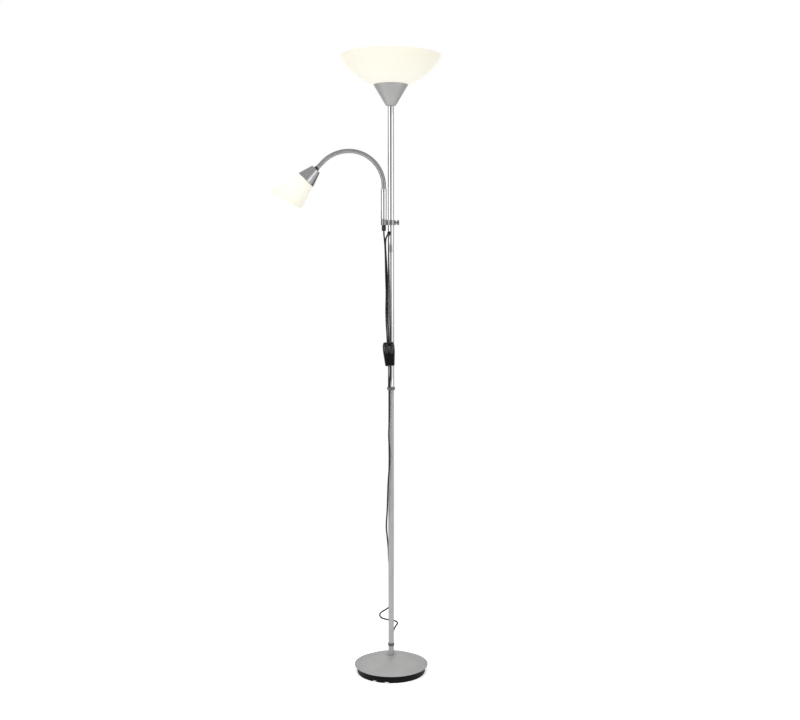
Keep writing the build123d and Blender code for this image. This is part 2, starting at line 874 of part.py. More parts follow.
small_cap_foot = small_bulb_tip + 0.2
small_cap_profile = [
    (0, small_cap_foot),
    (2.5, small_cap_foot),
    (4.0, small_cap_foot + 2),
    (small_cap_radius, small_cap_foot + 4),
    (small_cap_radius, small_cap_top),
    (0, small_cap_top),
]
with BuildPart() as reading_bulb_cap:
    revolve(outline(along(small_cap_profile), head_side), axis=head_axis)
reading_bulb_cap.part.label = "reading_bulb_cap"

small_globe_centre = small_bulb_end - bulb_radius
small_join = 13.0
small_drop = math.sqrt(bulb_radius**2 - small_join**2)
small_neck = small_cap_radius + 1.4
with BuildPart() as reading_bulb_globe:
    with BuildSketch(head_side):
        with BuildLine():
            Polyline(
                (small_cap_top, small_neck - glass_wall),
                (small_cap_top, small_neck),
                (small_socket_mouth, small_neck),
                (small_globe_centre - small_drop, small_join),
            )
            ThreePointArc(
                (small_globe_centre - small_drop, small_join),
                (small_globe_centre, bulb_radius),
                (small_bulb_end, 0),
            )
            Line((small_bulb_end, 0), (small_bulb_end - glass_wall, 0))
            ThreePointArc(
                (small_bulb_end - glass_wall, 0),
                (small_globe_centre, bulb_radius - glass_wall),
                (small_globe_centre - small_drop * glass_share, small_join * glass_share),
            )
            Polyline(
                (small_globe_centre - small_drop * glass_share, small_join * glass_share),
                (small_socket_mouth, small_neck - glass_wall),
                (small_cap_top, small_neck - glass_wall),
            )
        make_face()
    revolve(axis=head_axis)
reading_bulb_globe.part.label = "reading_bulb_globe"

plate_foot = small_flange_top + seat_gap
plate_hole = small_skirt_radius + 0.3
shade_half = (cup_length + shade_far) / 2
shade_half_radius = (shade_neck_radius + shade_far_radius) / 2 + shade_bulge
mouth_tilt = math.radians(mouth_slant)
mouth_normal = head_way * math.cos(mouth_tilt) - head_square * math.sin(mouth_tilt)
with BuildPart() as reading_shade:
    with BuildSketch(head_side):
        with BuildLine():
            Polyline(
                (plate_foot + shade_wall, plate_hole),
                (plate_foot, plate_hole),
                (plate_foot, shade_plate_radius),
                (cup_length, shade_neck_radius),
            )
            ThreePointArc(
                (cup_length, shade_neck_radius),
                (shade_half, shade_half_radius),
                (shade_far, shade_far_radius),
            )
            Line((shade_far, shade_far_radius), (shade_far, shade_far_radius - shade_wall))
            ThreePointArc(
                (shade_far, shade_far_radius - shade_wall),
                (shade_half, shade_half_radius - shade_wall),
                (cup_length, shade_neck_radius - shade_wall),
            )
            Polyline(
                (cup_length, shade_neck_radius - shade_wall),
                (plate_foot + shade_wall, shade_plate_radius - shade_wall),
                (plate_foot + shade_wall, plate_hole),
            )
        make_face()
    revolve(axis=head_axis)
    split(
        bisect_by=Plane(origin=head_origin + head_way * mouth_on_axis, z_dir=mouth_normal),
        keep=Keep.BOTTOM,
    )
reading_shade.part.label = "reading_shade"

small_ring_foot = plate_foot + shade_wall + 0.2
with BuildPart() as reading_shade_ring:
    revolve(
        outline(
            along(
                band(
                    small_skirt_radius + fit,
                    small_ring_radius - 0.6,
                    small_ring_foot,
                    small_ring_foot + small_ring_height,
                )
            ),
            head_side,
        ),
        axis=head_axis,
    )
reading_shade_ring.part.label = "reading_shade_ring"

# ---------------------------------------------------------------- cord switch
tilt = math.radians(switch_tilt)
switch_across = Vector(math.cos(tilt), 0, math.sin(tilt))
switch_up = Vector(-math.sin(tilt), 0, math.cos(tilt))
switch_origin = Vector(switch_x, switch_y, switch_z)
switch_front = Plane(origin=switch_origin, x_dir=switch_across, z_dir=(0, -1, 0))
pivot_depth = case_shell - rocker_drop
opening_length = 2 * (rocker_half_length + rocker_play)
screw_spots = [(-case_screw_spacing / 2, case_screw_height), (case_screw_spacing / 2, case_screw_height)]


def case_outline(inset):
    """The switch case's face, symmetric about its length and drawn in by inset."""
    corners = [
        (case_half_bottom - inset, -case_half_length + inset),
        (case_half_wide - inset, 8),
        (case_half_wide - inset, 24),
        (case_half_top - inset, case_half_length - inset),
    ]
    mirrored = [(-x, y) for x, y in reversed(corners)]
    with BuildSketch() as face:
        with BuildLine():
            Polyline(*corners, *mirrored, close=True)
        make_face()
        fillet(face.vertices(), case_round - inset)
    return face.sketch


with BuildPart() as switch_case_front:
    with BuildSketch(switch_front):
        add(case_outline(0))
    extrude(amount=case_shell)
    fillet(switch_case_front.faces().sort_by(Axis.Y)[0].edges(), case_edge)
    with BuildSketch(switch_front):
        add(case_outline(case_wall))
    extrude(amount=case_shell - case_wall, mode=Mode.SUBTRACT)
    with BuildSketch(switch_front.offset(pivot_depth - 3)):
        for cheek in (-rocker_pitch, 0, rocker_pitch):
            with Locations((cheek, rocker_centre)):
                Rectangle(cheek_thickness, 10)
    extrude(amount=case_shell - case_wall - pivot_depth + 3.2)
    with BuildSketch(switch_front.offset(pivot_depth - 4)):
        for side in (-rocker_pitch / 2, rocker_pitch / 2):
            with Locations((side, rocker_centre)):
                Rectangle(rocker_width + 0.8, opening_length)
    extrude(amount=2 * rocker_drop + 4, mode=Mode.SUBTRACT)
    with BuildSketch(
        Plane(
            origin=switch_origin
            + Vector(0, -pivot_depth, 0)
            + switch_up * rocker_centre
            - switch_across * (rocker_pitch + cheek_thickness / 2),
            z_dir=switch_across,
        )
    ):
        Circle(pivot_radius + fit)
    extrude(amount=2 * rocker_pitch + cheek_thickness, mode=Mode.SUBTRACT)
    with BuildSketch(switch_front):
        with Locations(*screw_spots):
            Circle(boss_radius)
    extrude(amount=case_shell - case_wall + 0.2)
    with BuildSketch(switch_front):
        with Locations(*screw_spots):
            Circle(case_screw_radius + fit)
    extrude(amount=case_shell - case_wall - 2, mode=Mode.SUBTRACT)
switch_case_front.part.label = "switch_case_front"

with BuildPart() as switch_case_back:
    with BuildSketch(switch_front):
        add(case_outline(0))
    extrude(amount=-case_shell)
    fillet(switch_case_back.faces().sort_by(Axis.Y)[-1].edges(), case_edge)
    with BuildSketch(switch_front):
        add(case_outline(case_wall))
    extrude(amount=-(case_shell - case_wall), mode=Mode.SUBTRACT)
    with BuildSketch(switch_front):
        with Locations(*screw_spots):
            Circle(boss_radius)
    extrude(amount=-(case_shell - case_wall + 0.2))
    with BuildSketch(switch_front):
        with Locations(*screw_spots):
            Circle(case_screw_radius + fit)
    extrude(amount=-case_shell, mode=Mode.SUBTRACT)
switch_case_back.part.label = "switch_case_back"

with BuildPart() as switch_screws:
    with BuildSketch(switch_front.offset(-case_shell)):
        with Locations(*screw_spots):
            Circle(case_screw_radius)
    extrude(amount=case_screw_length)
switch_screws.part.label = "switch_screws"

pivot_spot = switch_origin + Vector(0, -pivot_depth, 0) + switch_up * rocker_centre
with BuildPart() as rocker_pin:
    with BuildSketch(
        Plane(
            origin=pivot_spot - switch_across * (rocker_pitch + cheek_thickness / 2),
            z_dir=switch_across,
        )
    ):
        Circle(pivot_radius)
    extrude(amount=2 * rocker_pitch + cheek_thickness)
rocker_pin.part.label = "rocker_pin"

rocker_profile = [
    (-rocker_half_length + 1, -rocker_keel),
    (rocker_half_length - 1, -rocker_keel),
    (rocker_half_length, rocker_rise),
    (0, rocker_valley),
    (-rocker_half_length, rocker_rise),
]
rocker_sides = {"rocker_reading": -rocker_pitch / 2, "rocker_uplight": rocker_pitch / 2}
rocker_up = switch_up * math.cos(math.radians(rocker_tilt)) + Vector(0, -1, 0) * math.sin(
    math.radians(rocker_tilt)
)
rockers = []
for rocker_name, side in rocker_sides.items():
    corner = pivot_spot + switch_across * (side - rocker_width / 2)
    with BuildPart() as rocker:
        with BuildSketch(Plane(origin=corner, x_dir=rocker_up, z_dir=switch_across)):
            add(outline([(x, -y) for x, y in rocker_profile], Plane.XY))
            Circle(pivot_radius + fit, mode=Mode.SUBTRACT)
        extrude(amount=rocker_width)
    rocker.part.label = rocker_name
    rockers.append(rocker.part)

with BuildPart() as switch_terminals:
    with BuildSketch(switch_front.offset(-case_shell + case_wall)):
        with Locations((0, -8)):
            Rectangle(20, 14)
        with Locations((-7, -8), (0, -8), (7, -8)):
            Circle(2, mode=Mode.SUBTRACT)
    extrude(amount=9)
switch_terminals.part.label = "switch_terminals"

# ---------------------------------------------------------------- plug
bearing = math.radians(plug_bearing)
plug_along = Vector(math.cos(bearing), -math.sin(bearing), 0)
plug_out = Vector(math.sin(bearing), math.cos(bearing), 0)
plug_spot = plug_out * plug_distance
plug_flat = Plane(origin=plug_spot, x_dir=plug_along, z_dir=(0, 0, 1))
plug_half = plug_length / 2
pin_height = plug_thickness / 2
plug_corners = [
    (plug_half, -plug_width / 2),
    (plug_half, plug_width / 2),
    (0, plug_width / 2),
    (-plug_half, plug_tail_width / 2),
    (-plug_half, -plug_tail_width / 2),
    (0, -plug_width / 2),
]
with BuildPart() as plug_body:
    with BuildSketch(plug_flat) as plug_face:
        with BuildLine():
            Polyline(*plug_corners, close=True)
        make_face()
        fillet(plug_face.vertices(), plug_round)
    extrude(amount=plug_thickness)
    fillet(plug_body.faces().filter_by(Axis.Z).edges(), plug_round)
plug_body.part.label = "plug_body"

tail_spot = plug_spot - plug_along * plug_half + Vector(0, 0, pin_height)
with BuildPart() as plug_boot:
    with BuildSketch(Plane(origin=tail_spot, z_dir=-plug_along)):
        Circle(plug_boot_radius)
    with BuildSketch(Plane(origin=tail_spot - plug_along * plug_boot_length, z_dir=-plug_along)):
        Circle(cord_radius + 0.5)
    loft()
plug_boot.part.label = "plug_boot"

nose_spot = plug_spot + plug_along * plug_half + Vector(0, 0, pin_height)
with BuildPart() as plug_pins:
    with BuildSketch(Plane(origin=nose_spot, x_dir=plug_out, z_dir=plug_along)):
        with Locations((-pin_spacing / 2, 0), (pin_spacing / 2, 0)):
            Circle(pin_radius)
    extrude(amount=pin_length)
plug_pins.part.label = "plug_pins"

# ---------------------------------------------------------------- cords
# Each cord is a list of points chosen along its route; its arcs are worked out from them.
nose_start = outlet_centre + nose_way * outlet_nose
inlet_left = switch_origin - switch_across * 2.6 + switch_up * switch_top
inlet_right = switch_origin + switch_across * 2.6 + switch_up * switch_top
cord_exit = switch_origin - switch_up * case_half_length

lead_foot = switch_z + case_half_length
lead_stretch = (outlet_height - lead_foot) / 309.4


def on_lead(x, y, rise):
    """Point of a lead that hangs to the switch: it rises as far as the outlet's height allows."""
    return (x, y, lead_foot + rise * lead_stretch)


uplight_lead_route = [
    tuple(nose_start),
    tuple(nose_start + nose_way * 6),
    on_lead(-15.2, -11.8, 288.4),
    on_lead(-15.6, -11.4, 270.4),
    on_lead(-13.0, -12.3, 232.4),
    on_lead(-10.3, -12.8, 186.4),
    on_lead(-8.4, -13.8, 134.4),
    on_lead(-10.0, -14.4, 96.4),
    on_lead(-8.9, -15.8, 56.4),
    on_lead(-6.4, -18.4, 24.4),
    tuple(inlet_right + switch_up * 9),
    tuple(inlet_right),
]
reading_lead_route = [
    (-arm_offset, 0.0, gland_bottom),
    (-arm_offset, 0.0, gland_bottom - 9),
    on_lead(-18.4, -3.6, 292.4),
    on_lead(-16.8, -6.4, 274.4),
    on_lead(-15.4, -7.9, 234.4),
    on_lead(-14.8, -9.9, 188.4),
    on_lead(-12.9, -11.2, 136.4),
    on_lead(-14.4, -11.9, 98.4),
    on_lead(-13.6, -13.6, 58.4),
    on_lead(-11.4, -16.8, 26.4),
    tuple(inlet_left + switch_up * 9),
    tuple(inlet_left),
]
mains_lead_route = [
    tuple(cord_exit),
    tuple(cord_exit - switch_up * 16),
    (-4.0, -16.4, 866.0),
    (upper_clip_eye[0], upper_clip_eye[1], 849.0),
    (upper_clip_eye[0], upper_clip_eye[1] + 0.1, 826.0),
    (-4.3, -14.9, 790.0),
    (-5.2, -15.3, 742.0),
    (-7.0, -15.0, 698.0),
    (-3.3, -15.7, 655.0),
    (-4.4, -15.2, 612.0),
    (-8.4, -13.8, 568.0),
    (-9.8, -12.4, 520.0),
    (-11.4, -9.6, 476.0),
    (-14.6, -4.2, 434.0),
    (-11.6, 3.6, 403.0),
    (-8.4, 9.4, 370.0),
    (-7.0, 11.2, 332.0),
    (-3.6, 13.0, 290.0),
    (1.0, 14.0, 250.0),
    (2.5, 14.6, 218.0),
    (0.5, 15.0, 197.0),
    (-9.0, 16.0, 184.0),
    (-23.6, 17.6, 175.6),
    (-32.4, 19.4, 168.2),
    (-34.9, 20.6, 161.2),
    (-29.6, 20.2, 153.6),
    (-18.5, 18.6, 150.4),
    (-5.5, 16.6, 148.6),
    (7.0, 15.8, 147.0),
    (15.6, 16.4, 144.2),
    (19.4, 16.6, 138.0),
    (12.8, 16.0, 130.0),
    (7.0, 15.0, 118.0),
    (lower_clip_eye[0], lower_clip_eye[1], 97.0),
    (lower_clip_eye[0], lower_clip_eye[1] + 0.1, 74.0),
    (0.2, 17.0, 61.0),
    (0.0, 28.0, 53.6),
    (0.0, 46.0, 49.2),
    (-0.2, 68.0, 43.2),
    (-0.3, 90.0, 35.8),
    (-0.5, 107.0, 30.6),
    (-5.0, 116.5, 22.5),
    (-15.0, 119.0, 13.0),
    (-28.0, 114.0, 5.4),
    (-40.0, 105.5, 2.4),
    (-57.4, 91.0, 2.3),
    (-69.1, 84.5, 2.3),
    (-81.4, 86.5, 2.3),
    (-88.7, 96.5, 2.3),
    (-86.7, 108.8, 2.3),
    (-75.0, 116.4, 2.3),
    (-57.0, 123.0, 2.3),
    (-40.5, 127.6, 3.4),
    tuple(tail_spot - plug_along * (plug_boot_length + 12)),
    tuple(tail_spot - plug_along * plug_boot_length),
]
uplight_inner_route = [
    tuple(outlet_foot + outlet_way * outlet_inside),
    tuple(outlet_foot + outlet_way * 3.9),
    tuple(outlet_foot + outlet_way * 0.6 + Vector(0, 0, 3.6)),
    (0.0, 0.0, outlet_height + 16),
    (0.2, 0.0, outlet_height + 46),
    (0.0, 0.0, cavity_floor - 1),
]
cord_routes = {
    "uplight_lead": uplight_lead_route,
    "reading_lead": reading_lead_route,
    "mains_lead": mains_lead_route,
    "uplight_inner_lead": uplight_inner_route,
}
cords = []
for cord_name, route in cord_routes.items():
    with BuildPart() as cord:
        with BuildLine() as line:
            cord_line(route)
        with BuildSketch(Plane(origin=line.line @ 0, z_dir=line.line % 0)):
            Circle(cord_radius)
        sweep()
    cord.part.label = cord_name
    report_cord(cord_name, route, cord.part)
    cords.append(cord.part)

with BuildPart() as reading_inner_lead:
    with BuildSketch(arm_line.offset(gland_bottom)):
        Circle(cord_radius)
    sweep(path=neck_path(gland_bottom, collar_length + head_stud_length))
reading_inner_lead.part.label = "reading_inner_lead"

# ---------------------------------------------------------------- write every piece
turned_pieces = [
    base_pad,
    base_weight,
    base_dome,
    base_spacer,
    base_washer,
    base_nut,
    pole_stud,
    pole_foot_insert,
    pole_head_insert,
    cord_outlet,
    uplight_cone,
    uplight_nipple,
    uplight_lock_nut,
    uplight_socket,
    uplight_contact,
    uplight_bulb_cap,
    uplight_bulb_globe,
    uplight_bowl,
    uplight_shade_ring,
    arm_clamp,
    clamp_screw,
    arm_tube,
    arm_foot_plug,
    arm_nipple,
    arm_gland,
    neck_ferrule,
    gooseneck,
    neck_end_fitting,
    reading_cup,
    reading_lock_nut,
    reading_socket,
    reading_contact,
    reading_bulb_cap,
    reading_bulb_globe,
    reading_shade,
    reading_shade_ring,
    switch_case_front,
    switch_case_back,
    switch_screws,
    rocker_pin,
    switch_terminals,
    plug_body,
    plug_boot,
    plug_pins,
    reading_inner_lead,
]
pieces = [builder.part for builder in turned_pieces]
for piece in pieces + pole_tubes + couplers + clips + rockers + cords:
    export_step(piece, f"parts/{piece.label}.step")
print("pieces", len(pieces + pole_tubes + couplers + clips + rockers + cords))
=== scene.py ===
"""Torchiere floor lamp with a gooseneck reading light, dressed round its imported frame.

Metres, +Z up, origin on the floor on the pole's axis. The reading light reaches to -X and the
front, with the cord switch, looks to -Y.
"""

import math

import bmesh
import bpy
import mathutils
import numpy as np
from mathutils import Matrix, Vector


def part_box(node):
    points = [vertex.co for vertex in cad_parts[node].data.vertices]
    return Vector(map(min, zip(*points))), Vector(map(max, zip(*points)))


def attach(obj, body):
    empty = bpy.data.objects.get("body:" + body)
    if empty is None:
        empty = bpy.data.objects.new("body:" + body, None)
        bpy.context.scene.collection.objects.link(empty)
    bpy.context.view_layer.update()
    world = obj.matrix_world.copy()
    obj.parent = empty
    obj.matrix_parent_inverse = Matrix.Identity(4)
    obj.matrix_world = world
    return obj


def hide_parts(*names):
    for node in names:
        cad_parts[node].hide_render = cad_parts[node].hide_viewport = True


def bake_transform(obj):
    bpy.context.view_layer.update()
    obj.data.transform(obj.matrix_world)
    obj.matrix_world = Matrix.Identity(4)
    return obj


bl_info = {
    "name": "Torchiere floor lamp",
    "version": (1, 0, 0),
    "blender": (4, 5, 0),
    "location": "3D View > Sidebar > Lamp",
    "description": "Dresses a torchiere floor lamp with a gooseneck reading light",
    "category": "Object",
}

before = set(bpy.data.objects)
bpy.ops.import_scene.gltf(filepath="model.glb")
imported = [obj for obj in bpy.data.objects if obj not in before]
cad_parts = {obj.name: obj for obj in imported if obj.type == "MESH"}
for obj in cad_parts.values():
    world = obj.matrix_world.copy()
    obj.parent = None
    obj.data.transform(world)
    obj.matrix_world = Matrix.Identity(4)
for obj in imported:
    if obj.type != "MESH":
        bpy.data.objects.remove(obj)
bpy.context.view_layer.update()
MM = 0.001

# ---------------------------------------------------------------- sizes shared with the solids
# Lengths are in millimetres, as in the solids, and angles in radians.
LAMP_TOP = 1780.0
SLIM_RADIUS = 8.0
POLE_RADIUS = 9.0
TUBE_WALL = 1.0
STUD_BORE = 5.3
DOME_RADIUS = 107.4
DOME_RIM = 22.4
DOME_TOP = 50.0
DOME_WALL = 1.0
CONE_FOOT = 1641.3
CONE_FOOT_RADIUS = 14.0
CONE_MOUTH = 1699.0
CONE_MOUTH_RADIUS = 49.0
BOWL_SPHERE = 161.0
BOWL_RIM_RADIUS = 143.4
SHADE_WALL = 2.0
GLOBE_RADIUS = 22.5
UPLIGHT_GLOBE = LAMP_TOP - 18.0 - GLOBE_RADIUS
ARM_X = -20.2
ARM_RADIUS = 8.4
GLAND_BOTTOM = 1289.3
LEAD_CLEARANCE = 0.4
NECK_RADIUS = 6.4
NECK_BORE = 3.6
NECK_FOOT = 1391.0
NECK_RISE = 1416.0
NECK_FIRST = 98.8
NECK_SECOND = 104.0
NECK_STRAIGHT = 21.0
HEAD_SLOPE = math.radians(46.0)
COLLAR = 5.5
HEAD_WAY = np.array([-math.cos(HEAD_SLOPE), 0.0, -math.sin(HEAD_SLOPE)])
HEAD_SQUARE = np.array([-math.sin(HEAD_SLOPE), 0.0, math.cos(HEAD_SLOPE)])
CROWN = np.array([ARM_X - NECK_FIRST, 0.0, NECK_RISE + NECK_FIRST])
TURN_END = CROWN - np.array(
    [NECK_SECOND * math.sin(HEAD_SLOPE), 0.0, NECK_SECOND * (1 - math.cos(HEAD_SLOPE))]
)
NECK_END = TURN_END + HEAD_WAY * NECK_STRAIGHT
HEAD_ORIGIN = NECK_END + HEAD_WAY * COLLAR
CUP_LENGTH = 42.5
CUP_FOOT_RADIUS = 14.85
CUP_MOUTH_RADIUS = 28.8
BELL_NECK_RADIUS = 27.3
BELL_FLARE = 27.7 / 99.5
BELL_MIDDLE = 92.25
BELL_HALF = 49.75
BELL_BELLY = 1.0
MOUTH_TILT = math.radians(16.2)
MOUTH_REACH = 123.4
READING_GLOBE = 79.5
SWITCH_TILT = math.radians(4.1)
SWITCH_ACROSS = np.array([math.cos(SWITCH_TILT), 0.0, math.sin(SWITCH_TILT)])
SWITCH_UP = np.array([-math.sin(SWITCH_TILT), 0.0, math.cos(SWITCH_TILT)])
SWITCH_CENTRE = np.array([-5.1, -20.6, 939.3])
SWITCH_HALF = 34.3
PLUG_BEARING = math.radians(9.0)
PLUG_ALONG = np.array([math.cos(PLUG_BEARING), -math.sin(PLUG_BEARING), 0.0])
PLUG_OUT = np.array([math.sin(PLUG_BEARING), math.cos(PLUG_BEARING), 0.0])
PLUG_MIDDLE = PLUG_OUT * 119.2 + np.array([0.0, 0.0, 6.85])
PLUG_TAIL = PLUG_MIDDLE - PLUG_ALONG * 17.75
OUTLET_WAY = np.array([math.cos(math.radians(247.5)), math.sin(math.radians(247.5)), 0.0])
OUTLET_NOSE = np.array([-0.62, 0.0, -0.785]) / math.hypot(0.62, 0.785)
OUTLET_CENTRE = OUTLET_WAY * 12.8 + np.array([0.0, 0.0, 1283.0])
CORD_DIAMETER = 4.4
FOOT = np.zeros(3)
UP = np.array([0.0, 0.0, 1.0])
SIDE = np.array([0.0, 1.0, 0.0])

# Points of the cords' routes, as in the solids, in millimetres.
NOSE_START = OUTLET_CENTRE + OUTLET_NOSE * 6.5
INLET_LEFT = SWITCH_CENTRE - SWITCH_ACROSS * 2.6 + SWITCH_UP * SWITCH_HALF
INLET_RIGHT = SWITCH_CENTRE + SWITCH_ACROSS * 2.6 + SWITCH_UP * SWITCH_HALF
SWITCH_OUTLET = SWITCH_CENTRE - SWITCH_UP * SWITCH_HALF
UPLIGHT_LEAD = [
    tuple(NOSE_START),
    tuple(NOSE_START + OUTLET_NOSE * 6),
    (-15.2, -11.8, 1262.0),
    (-15.6, -11.4, 1244.0),
    (-13.0, -12.3, 1206.0),
    (-10.3, -12.8, 1160.0),
    (-8.4, -13.8, 1108.0),
    (-10.0, -14.4, 1070.0),
    (-8.9, -15.8, 1030.0),
    (-6.4, -18.4, 998.0),
    tuple(INLET_RIGHT + SWITCH_UP * 9),
    tuple(INLET_RIGHT),
]
READING_LEAD = [
    (ARM_X, 0.0, GLAND_BOTTOM),
    (ARM_X, 0.0, GLAND_BOTTOM - 9),
    (-18.4, -3.6, 1266.0),
    (-16.8, -6.4, 1248.0),
    (-15.4, -7.9, 1208.0),
    (-14.8, -9.9, 1162.0),
    (-12.9, -11.2, 1110.0),
    (-14.4, -11.9, 1072.0),
    (-13.6, -13.6, 1032.0),
    (-11.4, -16.8, 1000.0),
    tuple(INLET_LEFT + SWITCH_UP * 9),
    tuple(INLET_LEFT),
]
MAINS_LEAD = [
    tuple(SWITCH_OUTLET),
    tuple(SWITCH_OUTLET - SWITCH_UP * 16),
    (-4.0, -16.4, 866.0),
    (-4.7, -14.3, 849.0),
    (-4.7, -14.2, 826.0),
    (-4.3, -14.9, 790.0),
    (-5.2, -15.3, 742.0),
    (-7.0, -15.0, 698.0),
    (-3.3, -15.7, 655.0),
    (-4.4, -15.2, 612.0),
    (-8.4, -13.8, 568.0),
    (-9.8, -12.4, 520.0),
    (-11.4, -9.6, 476.0),
    (-14.6, -4.2, 434.0),
    (-11.6, 3.6, 403.0),
    (-8.4, 9.4, 370.0),
    (-7.0, 11.2, 332.0),
    (-3.6, 13.0, 290.0),
    (1.0, 14.0, 250.0),
    (2.5, 14.6, 218.0),
    (0.5, 15.0, 197.0),
    (-9.0, 16.0, 184.0),
    (-23.6, 17.6, 175.6),
    (-32.4, 19.4, 168.2),
    (-34.9, 20.6, 161.2),
    (-29.6, 20.2, 153.6),
    (-18.5, 18.6, 150.4),
    (-5.5, 16.6, 148.6),
    (7.0, 15.8, 147.0),
    (15.6, 16.4, 144.2),
    (19.4, 16.6, 138.0),
    (12.8, 16.0, 130.0),
    (7.0, 15.0, 118.0),
    (0.3, 13.2, 97.0),
    (0.3, 13.3, 74.0),
    (0.2, 17.0, 61.0),
    (0.0, 28.0, 53.6),
    (0.0, 46.0, 49.2),
    (-0.2, 68.0, 43.2),
    (-0.3, 90.0, 35.8),
    (-0.5, 107.0, 30.6),
    (-5.0, 116.5, 22.5),
    (-15.0, 119.0, 13.0),
    (-28.0, 114.0, 5.4),
    (-40.0, 105.5, 2.4),
    (-57.4, 91.0, 2.3),
    (-69.1, 84.5, 2.3),
    (-81.4, 86.5, 2.3),
    (-88.7, 96.5, 2.3),
    (-86.7, 108.8, 2.3),
    (-75.0, 116.4, 2.3),
    (-57.0, 123.0, 2.3),
    (-40.5, 127.6, 3.4),
    tuple(PLUG_TAIL - PLUG_ALONG * 26.25),
    tuple(PLUG_TAIL - PLUG_ALONG * 14.25),
]


# ---------------------------------------------------------------- colour and node helpers
def linear(hex_colour):
    """Turns an sRGB hex value, such as "9FA0A0", into a linear colour with full alpha."""
    shares = np.array([int(hex_colour[i : i + 2], 16) for i in (0, 2, 4)]) / 255.0
    low = shares / 12.92
    high = ((shares + 0.055) / 1.055) ** 2.4
    return tuple(float(v) for v in np.where(shares <= 0.04045, low, high)) + (1.0,)


def toned(value):
    """A hex value's linear colour, or a share of one of the user's colours, from (name, share)."""
    if isinstance(value, str):
        return linear(value)
    name, share = value
    colour = getattr(bpy.context.scene.lamp_colours, name)
    return tuple(float(v) * share for v in colour[:3]) + (1.0,)


def shade_node(tree, kind, inputs=None, **settings):
    """Adds one node: settings are its own properties, inputs are values or other nodes' outputs."""
    made = tree.nodes.new(kind)
    for name, value in settings.items():
        setattr(made, name, value)
    for key, value in (inputs or {}).items():
        if isinstance(value, bpy.types.NodeSocket):
            tree.links.new(value, made.inputs[key])
        else:
            made.inputs[key].default_value = value
    return made


def new_material(name):
    """An empty material of that name, with its node tree and its output node."""
    material = bpy.data.materials.new(name)
    material.use_nodes = True
    tree = material.node_tree
    tree.nodes.clear()
    output = shade_node(tree, "ShaderNodeOutputMaterial")
    return material, tree, output


def worked_finish(name, dark, light, cloud_mm, grit_mm, gloss, relief_mm, drawn, sockets):
    """A finish that every plain surface of the lamp is a case of.

    Its colour drifts from dark to light in clouds cloud_mm across. A finer grit, grit_mm across
    and stretched by drawn, moves the roughness over the two values of gloss and lifts the
    surface by up to relief_mm. The other sockets are set as given.
    """
    material, tree, output = new_material(name)
    place = shade_node(tree, "ShaderNodeTexCoord").outputs["Object"]
    cloud = shade_node(
        tree, "ShaderNodeTexNoise", {"Vector": place, "Scale": 1000.0 / cloud_mm, "Detail": 3.0}
    )
    share = shade_node(
        tree, "ShaderNodeMapRange", {"Value": cloud.outputs[0], "From Min": 0.3, "From Max": 0.7}
    )
    colour = shade_node(
        tree,
        "ShaderNodeMix",
        {0: share.outputs[0], 6: toned(dark), 7: toned(light)},
        data_type="RGBA",
    )
    stretched = shade_node(tree, "ShaderNodeMapping", {"Vector": place, "Scale": drawn})
    grit = shade_node(
        tree,
        "ShaderNodeTexNoise",
        {"Vector": stretched.outputs[0], "Scale": 1000.0 / grit_mm, "Detail": 2.0},
    )
    rough = shade_node(
        tree,
        "ShaderNodeMapRange",
        {
            "Value": grit.outputs[0],
            "From Min": 0.3,
            "From Max": 0.7,
            "To Min": gloss[0],
            "To Max": gloss[1],
        },
    )
    relief = shade_node(
        tree, "ShaderNodeBump", {"Height": grit.outputs[0], "Distance": relief_mm * MM}
    )
    shader = shade_node(
        tree,
        "ShaderNodeBsdfPrincipled",
        {
            "Base Color": colour.outputs[2],
            "Roughness": rough.outputs[0],
            "Normal": relief.outputs[0],
            **sockets,
        },
    )
    tree.links.new(shader.outputs[0], output.inputs[0])
    return material


# ---------------------------------------------------------------- materials
EVEN = (1.0, 1.0, 1.0)
LENGTHWISE = (1.0, 1.0, 0.02)
LATHE = (0.1, 0.1, 1.0)

